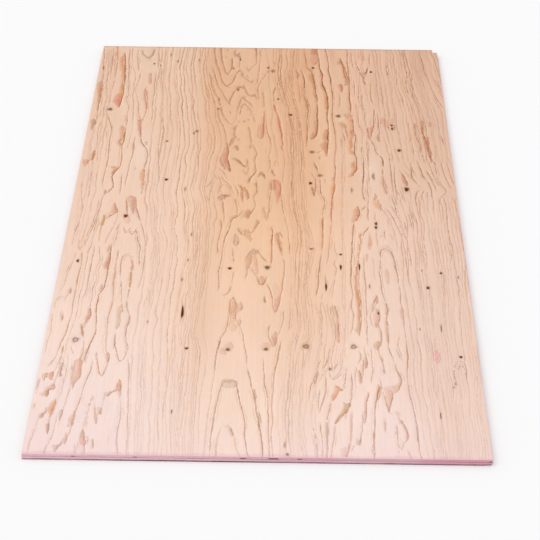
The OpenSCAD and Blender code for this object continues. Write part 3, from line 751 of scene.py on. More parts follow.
    ("t", .58, "946,612 952,622 958,616 962,606 961,630 956,655 952,680 948,660 945,635"),
    ("g", .42, "780,815 785,818 786,830 782,842 779,832"),
    ("g", .42, "938,70 948,68 954,80 950,96 940,92"),
    ("m", .50, "815,1722 822,1724 827,1750 830,1780 826,1800 820,1776 815,1750"),
    ("y", .72, "1126,560 1138,562 1140,590 1138,620 1135,650 1137,676 1132,694 1130,670 1128,640 1126,610 1125,585"),
    ("m", .78, "1136,690 1142,676 1151,680 1150,720 1148,750 1152,770 1156,790 1150,806 1150,830 1157,846 1150,850 1146,830 1142,806 1140,780 1138,750 1133,728 1134,706"),
    ("m", .85, "1134,706 1142,712 1143,740 1146,770 1150,800 1150,830 1146,830 1142,806 1140,780 1138,750 1133,728"),
    ("m", .48, "1106,576 1112,580 1112,620 1110,660 1107,650 1105,610"),
    ("m", .48, "1116,730 1122,736 1121,770 1118,790 1114,776"),
    ("g", .35, "1148,580 1156,566 1166,572 1164,590 1154,608 1148,598"),
    ("o", .82, "884,1630 893,1632 892,1670 897,1694 896,1704 892,1720 892,1745 897,1768 892,1780 892,1800 886,1798 886,1770 888,1745 886,1720 884,1690"),
    ("y", .78, "885,1790 893,1794 893,1830 890,1850 888,1880 884,1860 876,1847 882,1826 884,1806"),
    ("m", .62, "942,1653 946,1668 948,1688 946,1701 938,1701 932,1703 936,1688 938,1670"),
    ("g", .38, "934,1704 934,1724 930,1750 926,1744 928,1722"),
    ("g", .55, "938,1724 943,1736 943,1754 938,1750"),
    ("r", .40, "930,1758 940,1752 946,1776 942,1796 934,1798 928,1776"),
    ("m", .55, "932,1800 938,1803 942,1822 937,1832 934,1818"),
    ("y", .62, "925,1914 934,1904 944,1900 946,1912 940,1930 936,1942 928,1934 924,1925"),
    ("m", .52, "966,1690 972,1712 978,1736 973,1752 967,1764 964,1740 966,1716"),
    ("m", .40, "1010,1720 1018,1730 1019,1760 1014,1786 1010,1776"),
    ("m", .72, "901,1975 906,1992 908,2010 904,2030 899,2034 897,2012 900,1992"),
    ("m", .66, "882,2040 886,2055 888,2070 887,2090 884,2106 881,2092 879,2072 878,2055"),
    ("m", .58, "934,2108 938,2120 938,2146 936,2164 931,2180 927,2172 929,2150 930,2125"),
    ("r", .54, "951,2124 958,2128 966,2128 971,2132 972,2150 970,2175 966,2190 962,2210 958,2233 955,2222 954,2196 956,2176 953,2158"),
    ("y", .52, "990,2046 995,2062 999,2082 998,2104 992,2122 986,2134 978,2148 973,2138 966,2126 956,2124 952,2118 968,2116 982,2110 990,2096 991,2078"),
    ("r", .46, "904,2144 908,2150 904,2168 900,2185 898,2206 898,2242 892,2242 891,2215 893,2195 896,2178 900,2160"),
    ("m", .55, "888,2232 897,2232 896,2255 894,2275 891,2292 888,2280 890,2258"),
    ("t", .55, "848,2378 850,2392 846,2412 842,2432 836,2430 838,2412 842,2396"),
    ("t", .42, "826,2398 840,2392 838,2416 836,2430 826,2428 824,2414"),
    ("g", .60, "867,2356 872,2352 875,2365 881,2352 881,2364 876,2382 866,2378"),
    ("r", .50, "992,2284 999,2294 1004,2315 1004,2340 999,2358 996,2345 997,2320 993,2300"),
    ("g", .50, "980,2273 994,2272 993,2284 985,2285"),
]

# ---- knots: u, v, half-width, half-length, darkness, halo, ring, depth -----
KNOTS = [
    (194, 142, 3.2, 6.5, .90, .25, 0, .8), (605, 164, 3.6, 9, .70, .45, 0, .5),
    (765, 160, 5.0, 8, .88, .45, 0, .8), (972, 187, 4.8, 8, 1.0, .20, 0, 1.0),
    (643, 408, 4.2, 6, .92, .25, 0, .8), (687, 526, 6.0, 8, .92, .35, 0, 1.0),
    (288, 987, 6.5, 8, .95, .30, 0, 1.0), (753, 999, 5.6, 9.5, .95, .25, 0, 1.0),
    (175, 1221, 6.5, 9, .95, .60, 0, 1.0), (52, 1490, 4.2, 9, .92, .35, 0, .8),
    (510, 1521, 6.2, 7, .95, .40, 0, 1.0), (843, 1434, 5.0, 6, .92, .25, 0, .8),
    (1140, 1533, 4.2, 6, .92, .35, 0, .8), (1097, 1615, 5.2, 8, .95, .30, 0, 1.0),
    (402, 1946, 5.6, 6, .95, .35, 0, .9), (1169, 1971, 5.0, 6, .95, .30, 0, .9),
    (1048, 771, 6.0, 9, .92, .55, 0, .9), (1061, 1031, 7.5, 14, .95, .45, 0, 1.2),
    (1030, 594, 4.4, 8, .88, .35, 0, .8), (1031, 618, 4.4, 11, .80, .40, 0, .7),
    (956, 1249, 4.4, 10, .92, .45, 0, .9), (955, 1272, 4.4, 9, .92, .45, 0, .7),
    (850, 531, 7.8, 10, .80, .45, .25, .8), (65, 501, 8.2, 9, .78, .55, .25, .7),
    (87, 1911, 9.0, 12, .55, .30, .85, .5), (518, 1950, 6.0, 7, .70, .60, 0, .5),
    (625, 1946, 5.6, 7, .66, .60, 0, .5), (737, 1929, 8.2, 11, .72, .45, .75, .6),
    (871, 1927, 8.2, 11, .62, .35, .80, .5), (622, 1514, 6.8, 9, .70, .75, .10, .5),
    (754, 1404, 6.2, 5, .66, .40, .10, .4), (759, 790, 7.0, 8, .55, .60, .15, .3),
    (784, 948, 7.2, 8, .55, .50, .20, .3), (688, 2424, 4.4, 5, .75, .30, 0, .5),
    (371, 654, 4.6, 8, .55, .45, 0, .3), (362, 668, 3.6, 8, .40, .40, 0, .2),
    (275, 727, 4.2, 6, .72, .40, 0, .5), (885, 1042, 3.0, 15, .40, .35, 0, .2),
    (957, 950, 4.4, 20, .42, .40, 0, .2), (803, 2038, 4.0, 7, .55, .40, 0, .3),
    (622, 190, 6.2, 10, .38, .60, .15, .2), (605, 195, 3, 8, .25, .30, 0, .1),
    (381, 1762, 4.0, 34, 1.0, .30, 0, 2.2), (797, 1617, 3.2, 20, 1.0, .25, 0, 1.8),
    (842, 1507, 3.4, 15, .98, .35, 0, 1.6), (898, 1503, 2.6, 20, .95, .15, 0, 1.5),
    (946, 1755, 2.6, 9, .88, .20, 0, 1.0), (1123, 1828, 1.8, 20, .75, .15, 0, .8),
    (378, 2245, 1.8, 10, .85, .10, 0, .8), (1096, 2248, 1.8, 16, .80, .10, 0, .8),
    (250, 68, 2.0, 16, .42, .35, 0, .3), (278, 120, 2.8, 9, .48, .35, 0, .3),
    (503, 99, 3.2, 9, .60, .45, 0, .4), (218, 155, 2.2, 9, .45, .30, 0, .3),
    (355, 108, 2.4, 13, .42, .30, 0, .3), (14, 180, 2.6, 9, .42, .35, 0, .3),
    (480, 172, 3.4, 8, .50, .45, 0, .3), (925, 1612, 2.4, 13, .50, .30, 0, .3),
    (1190, 1555, 2.4, 8, .50, .30, 0, .3), (438, 488, 3.4, 7, .55, .40, 0, .3),
    (284, 1815, 2.2, 7, .40, .30, 0, .2), (1084, 1520, 2.2, 5, .45, .30, 0, .2),
    (1062, 1835, 2.2, 7, .45, .25, 0, .2), (681, 2385, 2.6, 12, .40, .35, 0, .2),
    (386, 1328, 2.4, 10, .50, .30, 0, .3), (352, 1048, 2.6, 12, .42, .40, 0, .2),
    (1146, 2100, 3.0, 6, .35, .35, .20, .2), (1140, 2117, 3.0, 5, .35, .30, .20, .2),
    (383, 1478, 2.4, 9, .50, .30, 0, .3), (371, 1588, 2.8, 9, .45, .35, 0, .3),
    (502, 342, 4.2, 8, .45, .45, 0, .2), (438, 415, 2.6, 10, .45, .35, 0, .2),
]

# ---- bands of close, even rings: left guide, right guide, count, strength --
BANDS = [
    ("200,-10 205,200 209,480 216,600 217,800 216,1060 224,1150 232,1280 246,1380 251,1480 249,1620 250,1800 245,1900 250,2060 257,2180 262,2280 270,2400 271,2450",
     "400,-10 398,140 400,240 404,300 414,360 428,410 434,450 440,560 450,600 458,650 465,720 466,780 456,830 454,900 448,960 446,1000 446,1060 458,1130 468,1200 464,1250 466,1330 464,1400 464,1480 462,1560 468,1650 462,1750 460,1850 466,1920 474,1980 470,2080 468,2150 466,2300 466,2450",
     16, .37),
    ("606,-10 612,200 622,300 655,440 662,560 668,660 672,760 675,850 672,960 670,1040 674,1120 680,1200 690,1290 693,1400 690,1500 688,1600 686,1700 690,1800 684,1880 676,1930 670,2000 664,2080 660,2160 656,2250 656,2350 660,2450",
     "728,-10 726,150 704,200 704,300 708,400 718,500 730,600 733,700 738,800 742,900 745,980 745,1100 748,1200 760,1300 768,1400 764,1480 760,1560 757,1650 765,1750 770,1850 762,1920 750,2000 748,2080 745,2150 742,2250 742,2350 750,2450",
     9, .35),
    ("755,1700 765,1800 768,1900 760,2000 758,2060",
     "868,1700 868,1800 862,1900 850,1960 846,2060",
     8, .34),
    ("742,2050 744,2150 742,2250 744,2350 750,2450", "774,2050 768,2150 764,2250 772,2350 778,2450", 2, .34),
    ("842,560 846,800 846,1000 842,1100 840,1250 836,1400 838,1500 834,1600 832,1700 836,1800 838,1900 836,2000",
     "880,560 874,800 868,950 862,1080 858,1250 862,1400 862,1500 858,1600 858,1700 860,1800 856,1900 852,2000",
     2, .32),
    ("978,-10 982,200 982,400 988,500 990,620 996,720 1000,800 1003,860",
     "1160,-10 1170,150 1186,300 1214,480 1226,700 1230,860",
     15, .34),
    ("1005,1080 1008,1120 1012,1180 1020,1280 1022,1380 1022,1500 1026,1600 1029,1720 1030,1850 1033,1950 1030,2050 1030,2120 1036,2200 1042,2300 1045,2450",
     "1226,1080 1227,1120 1228,1300 1228,1500 1226,1700 1224,1900 1222,2100 1218,2250 1214,2450",
     15, .34),
    ("1172,-10 1180,150 1196,300 1226,480", "1219,-10 1230,150 1245,300 1270,480", 3, .40),
    ("896,-10 900,200 898,400 900,520", "980,-10 972,200 976,400 982,520", 3, .26),
    ("2,20 4,300 6,700 5,1000 6,1400", "60,20 66,300 70,700 72,1000 60,1400", 4, .22),
    ("588,0 600,200 600,400 606,600 626,800 632,900", "606,0 612,200 622,300 640,440 650,600 662,800 664,900", 1, .25),
]

rng = np.random.default_rng(20731)


def parse(text, n):
    return np.array([[float(c) for c in p.split(",")] for p in text.split()], float).reshape(-1, n)


def smooth_path(pts, step):
    """Catmull-Rom curve through pts (first two columns are u, v), sampled about every step mm."""
    if len(pts) == 1:
        return pts.copy()
    p = np.vstack([2 * pts[0] - pts[1], pts, 2 * pts[-1] - pts[-2]])
    out = []
    for i in range(1, len(p) - 2):
        a, b, c, d = p[i - 1], p[i], p[i + 1], p[i + 2]
        n = max(2, int(math.ceil(math.hypot(*(c - b)[:2]) / step)))
        t = np.linspace(0, 1, n, endpoint=False)[:, None]
        out.append(0.5 * ((2 * b) + (c - a) * t + (2 * a - 5 * b + 4 * c - d) * t ** 2 + (3 * b - a - 3 * c + d) * t ** 3))
    out.append(p[-2][None])
    return np.vstack(out)


def wander(n, step, length, amp):
    """Smooth random drift along a path: n samples step mm apart, about length mm a wave."""
    k = max(2, int(n * step / length) + 4)
    knots = rng.normal(0, 1, k)
    x = np.arange(n) * step / length + rng.uniform(0, 1)
    i = np.minimum(x.astype(int), k - 2)
    f = x - i
    f = f * f * (3 - 2 * f)
    return amp * (knots[i] * (1 - f) + knots[i + 1] * f)


# ---------------------------------------------------------------------------
# ring lines as sampled paths: position, half-width, strength and colour
# ---------------------------------------------------------------------------
STEP = 4.0
FINE_FROM = 2020.0      # flames from here on get a finer lattice
paths = []


def add_path(pts, width, strength, hue, rough=0.7, fade=22.0, vary=0.35, ash=0.65, near=1.0):
    n = len(pts)
    if n < 3:
        return
    tan = np.gradient(pts[:, :2], axis=0)
    tan /= np.maximum(np.linalg.norm(tan, axis=1, keepdims=True), 1e-9)
    nor = np.stack([-tan[:, 1], tan[:, 0]], 1)
    off = wander(n, STEP, 46.0, rough) + wander(n, STEP, 15.0, rough * 0.55)
    pts = pts[:, :2] + nor * off[:, None]
    along = np.concatenate([[0], np.cumsum(np.linalg.norm(np.diff(pts, axis=0), axis=1))])
    s = np.asarray(strength) * np.clip(1 + wander(n, STEP, 110.0, vary * 0.6) + wander(n, STEP, 34.0, vary * 0.4), 0.25, 1.5)
    fade = min(fade, 0.25 * along[-1])
    inside0 = 4 < pts[0, 1] < L - 4 and 3 < pts[0, 0] < W - 3
    inside1 = 4 < pts[-1, 1] < L - 4 and 3 < pts[-1, 0] < W - 3
    if inside0:
        s = s * np.clip(along / fade, 0, 1)
    if inside1:
        s = s * np.clip((along[-1] - along) / fade, 0, 1)
    w = 0.5 * width * np.clip(1 + wander(n, STEP, 70.0, 0.22), 0.55, 1.7)
    t = np.clip(pts[:, 1] / L, 0, 1)
    s = s * (0.96 - 0.12 * t - 0.26 * t * t) * (1 + (near - 1) * t)
    s = s * (1 - 0.10 * np.clip((360 - pts[:, 0]) / 80, 0, 1) * np.clip((t - 0.38) / 0.12, 0, 1))
    w = w * (1.30 - 0.24 * t + 0.10 * np.clip((t - 0.6) / 0.4, 0, 1))
    hue = np.array(hue) + (ASH - np.array(hue)) * (ash * np.clip((t - 0.35) / 0.6, 0, 1))[:, None]
    paths.append((pts, w, np.clip(s, 0, 1), hue))


def part_round_knots(pts):
    """Close rings open up round a knot."""
    u, v = pts[:, 0].copy(), pts[:, 1]
    for ku, kv, ru, rv, dark, halo, ring, depth in KNOTS:
        if dark < 0.5:
            continue
        du = u - ku
        side = np.where(du >= 0, 1.0, -1.0)
        reach = ru + 4.0
        u = u + side * ru * 0.9 * np.exp(-((v - kv) / (rv * 1.8 + 10.0)) ** 2) * np.exp(-np.abs(du) / reach)
    return np.stack([u, v], 1)


for kind, width, strength, text in STROKES:
    line = smooth_path(parse(text, 2), STEP)
    add_path(line, width, min(1.0, strength * 1.15), HUE[kind], ash=0.65 if kind in "bgm" else 0.15)
    # fainter rings that follow a strong one for part of its way
    if strength >= 0.5 and len(line) > 24:
        for side in (-1, 1):
            if rng.uniform() < 0.30:
                continue
            n = len(line)
            i0 = int(n * rng.uniform(0.0, 0.45))
            i1 = min(n, i0 + max(12, int(n * rng.uniform(0.3, 0.6))))
            gap = side * rng.uniform(5.0, 8.5)
            echo = line[i0:i1].copy()
            echo[:, 0] += gap
            clear = np.array([min(math.hypot(e[0] - k[0], (e[1] - k[1]) * 0.6) for k in KNOTS) for e in echo[::6]])
            if clear.min() > 10:
                add_path(echo, 1.6, rng.uniform(0.16, 0.32), HUE[kind], rough=1.0, fade=30.0, vary=0.6)

for left, right, count, strength in BANDS:
    a, b = parse(left, 2), parse(right, 2)
    v0, v1 = max(a[0, 1], b[0, 1]), min(a[-1, 1], b[-1, 1])
    v = np.arange(v0, v1, STEP)
    sa, sb = smooth_path(a, STEP), smooth_path(b, STEP)
    ua = np.interp(v, sa[:, 1], sa[:, 0])
    ub = np.interp(v, sb[:, 1], sb[:, 0])
    gaps = np.clip(rng.normal(1.0, 0.28, count + 1), 0.5, 1.7)
    marks = np.cumsum(gaps)[:-1] / gaps.sum()
    slow = wander(len(v), STEP, 420.0, 0.014)
    sway = np.stack([wander(len(v), STEP, 30.0, 0.7) + wander(len(v), STEP, 80.0, 1.8) + wander(len(v), STEP, 170.0, 1.6) for k in range(5)])
    last = None
    pitch = (ub - ua) / (count + 1)
    for m in marks:
        f = m + slow + wander(len(v), STEP, 260.0, 0.20 / (count + 1)) + wander(len(v), STEP, 90.0, 0.07 / (count + 1))
        x = 4.0 * m
        i = min(int(x), 3)
        bend = sway[i] * (i + 1 - x) + sway[i + 1] * (x - i)
        pts = part_round_knots(np.stack([ua + (ub - ua) * f + bend, v], 1))
        strong = strength * rng.choice([0.65, 0.85, 1.0, 1.15, 1.45])
        if ua[0] > 950:
            strong = strong * (1 + 0.40 * np.exp(-((v - 1280.0) / 340.0) ** 2))
        hue = HUE["b"] if rng.uniform() < 0.72 else HUE[rng.choice(["r", "g", "m", "y"])]
        add_path(pts, rng.uniform(1.7, 2.6), strong, hue, rough=1.1, vary=0.42, near=0.79)
        if last is not None and len(pts) > 80:
            draw = rng.uniform()
            k = rng.uniform(0.40, 0.60)
            if draw < 0.30:
                # a fainter ring part of the way between two others
                i0 = int(rng.uniform(0, 0.6) * len(pts))
                i1 = min(len(pts), i0 + int(rng.uniform(60, 200)))
                add_path(pts[i0:i1] * k + last[i0:i1] * (1 - k), 1.6, strength * rng.uniform(0.4, 0.7), HUE["b"], rough=0.9, fade=40.0, vary=0.5, near=0.72)
            elif draw < 0.80 and v[-1] > 1900 and pitch.mean() > 10.0:
                # rings are closer together towards the near end
                i0 = int(np.searchsorted(v, rng.uniform(900, 1400)))
                add_path(pts[i0:] * k + last[i0:] * (1 - k), 1.8, strength * rng.uniform(0.8, 1.15), HUE["b"], rough=1.0, fade=90.0, vary=0.42, near=0.79)
        last = pts

# a flame too thin for the lattice is laid in as a wide line along its middle
for kind, strength, text in OUTLINES:
    p = parse(text, 2)
    if p[:, 1].mean() > FINE_FROM:
        continue
    q = np.roll(p, -1, 0)
    v = np.arange(p[:, 1].min() + 1.0, p[:, 1].max(), STEP)
    spans = (p[None, :, 1] <= v[:, None]) != (q[None, :, 1] <= v[:, None])
    rise = np.where(np.abs(q[:, 1] - p[:, 1]) < 1e-9, 1e-9, q[:, 1] - p[:, 1])
    cut = p[:, 0] + (v[:, None] - p[:, 1]) * (q[:, 0] - p[:, 0]) / rise
    ua, ub = np.where(spans, cut, 1e9).min(1), np.where(spans, cut, -1e9).max(1)
    half = 0.5 * (ub - ua)
    if np.median(half) < 4.4 and len(v) > 4:
        late = 0.5 * (np.array(HUE[kind]) + np.array(FLAME[kind]))
        add_path(np.stack([0.5 * (ua + ub), v], 1), np.clip(2 * half / 1.6, 1.4, 6.0), 0.62 * strength, late, rough=0.3, fade=14.0, vary=0.2, ash=0.2)

P_uv = np.vstack([p[0] for p in paths])
P_w = np.concatenate([p[1] for p in paths])
P_s = np.concatenate([p[2] for p in paths])
P_col = np.vstack([p[3] for p in paths])
P_first = np.concatenate([np.full(len(p[0]), sum(len(q[0]) for q in paths[:i])) for i, p in enumerate(paths)])
P_last = np.concatenate([np.full(len(p[0]), sum(len(q[0]) for q in paths[:i + 1]) - 1) for i, p in enumerate(paths)])

tree = kdtree.KDTree(len(P_uv))
for i, (u, v) in enumerate(P_uv):
    tree.insert((u, v, 0.0), i)
tree.balance()

# ---------------------------------------------------------------------------
# top face: a lattice with finer cells round every knot and round the drawn flames at the near end
# ---------------------------------------------------------------------------
FU, FV = 3, 4
us = np.concatenate([np.linspace(0, W - CHIP_W - 0.9, 286), [W - 11.0, W - 5.5, W]])
vs = np.concatenate([[0.0, 11.0], np.linspace(CHIP_L, L, 205)])
NU, NV = len(us) - 1, len(vs) - 1
fine_u = np.interp(np.arange(NU * FU + 1) / FU, np.arange(NU + 1), us)
fine_v = np.interp(np.arange(NV * FV + 1) / FV, np.arange(NV + 1), vs)
NOTCH_I = NU - 3          # cells from here to the right, in the first two rows, are missing
gone = np.zeros((NU, NV), bool)
gone[NOTCH_I:, :2] = True

refined = np.zeros((NU, NV), bool)
cu, cv = 0.5 * (us[1:] + us[:-1]), 0.5 * (vs[1:] + vs[:-1])
for ku, kv, ru, rv, dark, halo, ring, depth in KNOTS:
    grow = 1.35 if dark > 0.5 else 1.15
    refined |= (np.abs(cu - ku)[:, None] < ru * grow + 2.6) & (np.abs(cv - kv)[None, :] < rv * grow + 6.5)
for kind, strength, text in OUTLINES:
    p = parse(text, 2)
    if p[:, 1].mean() < FINE_FROM:
        continue
    lo, hi = p.min(0) - (2.0, 6.0), p.max(0) + (2.0, 6.0)
    refined |= ((cu > lo[0]) & (cu < hi[0]))[:, None] & ((cv > lo[1]) & (cv < hi[1]))[None, :]
refined &= ~gone
refined[0, :] = refined[-1, :] = False
refined[:, 0] = refined[:, -1] = False
refined[NOTCH_I - 1:, :3] = False

exists = np.zeros((NU * FU + 1, NV * FV + 1), bool)
exists[::FU, ::FV] = True
for i, j in np.argwhere(refined):
    exists[i * FU:(i + 1) * FU + 1, j * FV:(j + 1) * FV + 1] = True
exists[NOTCH_I * FU + 1:, :2 * FV] = False
order = -np.ones(exists.shape, int)
order[exists] = np.arange(exists.sum())
top_ij = np.argwhere(exists)
top_uv = np.stack([fine_u[top_ij[:, 0]], fine_v[top_ij[:, 1]]], 1)

faces = []          # vertex indices
face_mat = []       # 0 face, 1 back, 2 end, 3 side
for i, j in np.argwhere(refined):
    sub = order[i * FU:(i + 1) * FU + 1, j * FV:(j + 1) * FV + 1]
    q = np.stack([sub[:-1, 1:], sub[1:, 1:], sub[1:, :-1], sub[:-1, :-1]], -1).reshape(-1, 4)
    faces.extend(q.tolist())
near_fine = np.zeros_like(refined)
near_fine[:-1] |= refined[1:]
near_fine[1:] |= refined[:-1]
near_fine[:, :-1] |= refined[:, 1:]
near_fine[:, 1:] |= refined[:, :-1]
for i in range(NU):
    for j in range(NV):
        if gone[i, j] or refined[i, j]:
            continue
        i0, i1, j0, j1 = i * FU, (i + 1) * FU, j * FV, (j + 1) * FV
        if not near_fine[i, j]:
            faces.append([order[i0, j1], order[i1, j1], order[i1, j0], order[i0, j0]])
            continue
        ring = [order[k, j1] for k in range(i0, i1)] + [order[i1, k] for k in range(j1, j0, -1)]
        ring += [order[k, j0] for k in range(i1, i0, -1)] + [order[i0, k] for k in range(j0, j1)]
        faces.append([int(k) for k in ring if k >= 0])
face_mat += [0] * len(faces)
n_top_faces = len(faces)

# corner notch: its long side runs slightly off square
notch_side = (top_ij[:, 0] == NOTCH_I * FU) & (top_ij[:, 1] <= 2 * FV)
top_uv[notch_side, 0] = W - CHIP_W - 0.28 - 1.22 * top_uv[notch_side, 1] / CHIP_L

# knots: colour and depth
kn = np.zeros((len(top_uv), 3))
depth = np.zeros(len(top_uv))
for ku, kv, ru, rv, dark, halo, ring, deep in KNOTS:
    near = np.nonzero((np.abs(top_uv[:, 0] - ku) < ru * 3 + 12) & (np.abs(top_uv[:, 1] - kv) < rv * 3 + 12))[0]
    du, dv = (top_uv[near, 0] - ku) / ru, (top_uv[near, 1] - kv) / rv
    ang = np.arctan2(dv, du)
    r = np.sqrt(du * du + dv * dv) * (1 + 0.10 * np.sin(3 * ang + ku) + 0.06 * np.sin(5 * ang + kv))
    core = np.clip((1.08 - r) / 0.36, 0, 1)
    core = core * core * (3 - 2 * core)
    if ring > 0:
        hollow = np.clip(1 - r / 0.70, 0, 1)
        core = core * (1 - ring * np.clip(hollow * 2.6, 0, 1))
    aura = np.exp(-np.clip(r - 0.8, 0, None) ** 2 / 0.5)
    kn[near, 0] = np.maximum(kn[near, 0], dark * core)
    if ring > 0.5:
        aura = np.maximum(aura * halo, 0.9 * np.clip((0.95 - r) / 0.25, 0, 1) * (1 - 0.75 * np.clip(hollow * 2.6, 0, 1))) / halo
    kn[near, 1] = np.maximum(kn[near, 1], halo * aura)
    pit = np.clip(1.0 - r, 0, 1)
    depth[near] = np.maximum(depth[near], deep * np.minimum(1, pit * 2.2))
kn[:, 2] = depth

# wide latewood: signed distance (inside is below 0), strength and colour
pt_d = np.full(len(top_uv), 40.0)
pt_s = np.zeros(len(top_uv))
pt_x = np.zeros(len(top_uv))
pt_col = np.tile(FLAME["t"], (len(top_uv), 1))
for kind, strength, text in PATCHES:
    p = smooth_path(parse(text, 3), 3.0)
    lo, hi = p.min(0), p.max(0)
    reach = hi[2] + 22
    near = np.nonzero((top_uv[:, 0] > lo[0] - reach) & (top_uv[:, 0] < hi[0] + reach)
                      & (top_uv[:, 1] > lo[1] - reach) & (top_uv[:, 1] < hi[1] + reach))[0]
    q = top_uv[near]
    gap = np.sqrt((q[:, None, 0] - p[None, :, 0]) ** 2 + ((q[:, None, 1] - p[None, :, 1]) * 0.55) ** 2) - (1.12 * p[None, :, 2] + 1.0)
    at = gap.argmin(1)
    d = gap[np.arange(len(q)), at]
    closer = d < pt_d[near]
    pick = near[closer]
    pt_d[pick] = d[closer]
    pt_x[pick] = np.clip((q[:, 0] - p[at, 0]) / (1.12 * p[at, 2] + 1.0), -1.6, 1.6)[closer]
    along = np.clip(top_uv[pick, 1] / L, 0, 1)
    pt_s[pick] = strength * (1.08 - 0.22 * along)
    pt_col[pick] = np.array(FLAME[kind]) + (np.array(FLAME_NEAR[kind]) - np.array(FLAME[kind])) * np.clip((along - 0.3) / 0.55, 0, 1)[:, None]


def outline_field(q, p):
    """Distance to a closed outline, below 0 inside (lengths along the grain count 0.55), and place across it."""
    a = p * (1.0, 0.55)
    b = np.roll(a, -1, 0)
    r = q * (1.0, 0.55)
    ab = b - a
    ap = r[:, None] - a[None]
    t = np.clip((ap * ab).sum(2) / np.maximum((ab * ab).sum(1), 1e-9), 0, 1)
    d = np.sqrt(((ap - t[..., None] * ab) ** 2).sum(2)).min(1)
    spans = (a[None, :, 1] <= r[:, None, 1]) != (b[None, :, 1] <= r[:, None, 1])
    cut = a[:, 0] + (r[:, None, 1] - a[:, 1]) * ab[:, 0] / np.where(np.abs(ab[:, 1]) < 1e-9, 1e-9, ab[:, 1])
    inside = ((spans & (cut > r[:, None, 0])).sum(1) % 2) == 1
    left = np.where(spans, cut, 1e9).min(1)
    right = np.where(spans, cut, -1e9).max(1)
    seen = right > left
    mid = np.where(seen, 0.5 * (left + right), a[:, 0].mean())
    half = np.maximum(np.where(seen, 0.5 * (right - left), 6.0), 2.0)
    return np.where(inside, -d, d), np.clip((q[:, 0] - mid) / half, -1.6, 1.6)


for kind, strength, text in OUTLINES:
    p = parse(text, 2)
    lo, hi = p.min(0) - (22, 30), p.max(0) + (22, 30)
    near = np.nonzero(((top_uv > lo) & (top_uv < hi)).all(1))[0]
    d, place = outline_field(top_uv[near], p)
    d = d - 0.8
    over = (d < pt_d[near]) | (d < 0.6)
    pick = near[over]
    pt_d[pick] = np.minimum(pt_d[pick], d[over])
    pt_x[pick] = place[over]
    along = np.clip(top_uv[pick, 1] / L, 0, 1)
    pt_s[pick] = strength * (1.08 - 0.22 * along)
    pt_col[pick] = np.array(FLAME[kind]) + (np.array(FLAME_NEAR[kind]) - np.array(FLAME[kind])) * np.clip((along - 0.3) / 0.55, 0, 1)[:, None]

# slow changes of tone across the sheet: tan at the far end, pinker and paler towards the near end, with tan bands along
# the grain. The paling towards the near end is partly the veneer's own colour and partly painted light: the near end is
# painted as if lit brighter.
U, V = top_uv[:, 0], top_uv[:, 1]


def ease(x, a, b):
    t = np.clip((x - a) / (b - a), 0, 1)
    return t * t * (3 - 2 * t)


TAN = np.array(lin(236, 202, 178))
PINK = np.array(lin(249, 223, 211))
WARM_FAR = np.array(lin(229, 183, 147))
WARM_MID = np.array(lin(238, 192, 154))
DUSK = np.array(lin(221, 181, 156))
# tan far end to pale pink near end: partly wood colour, partly painted light
tone = TAN + (PINK - TAN) * ease(V, -200, 2300)[:, None]


def tint(colour, amount):
    global tone
    tone = tone + (colour - tone) * np.clip(amount, 0, 1)[:, None]


# the heart of the sheet is warmer, the right side duller
warm = WARM_FAR + (WARM_MID - WARM_FAR) * ease(V, 100, 1300)[:, None]
tint(warm, 0.92 * np.exp(-np.abs((U - 635) / 290.0) ** 2.8) * (1 - 0.97 * ease(V, 1150, 2500)) * (0.84 + 0.16 * ease(V, 60, 380)))
tint(np.array(lin(218, 166, 128)), 0.20 * ease(U, 780, 860) * (1 - ease(V, 900, 1400)))
tint(np.array(lin(222, 170, 130)), 0.16 * np.exp(-((U - 500) / 120.0) ** 2) * ease(V, 450, 750) * (1 - ease(V, 1100, 1500)))
tint(warm, 0.26 * (1 - ease(U, 160, 420)) * ease(V, 60, 500) * (1 - ease(V, 1300, 2100)))
tint(np.array(lin(247, 212, 195)), 0.42 * np.exp(-((U - 570) / 125.0) ** 2) * ease(V, 1420, 1640) * (1 - ease(V, 1880, 2120)))
tint(DUSK, 0.75 * ease(U, 860, 1120) * (1 - 0.62 * ease(V, 0, 2300)))
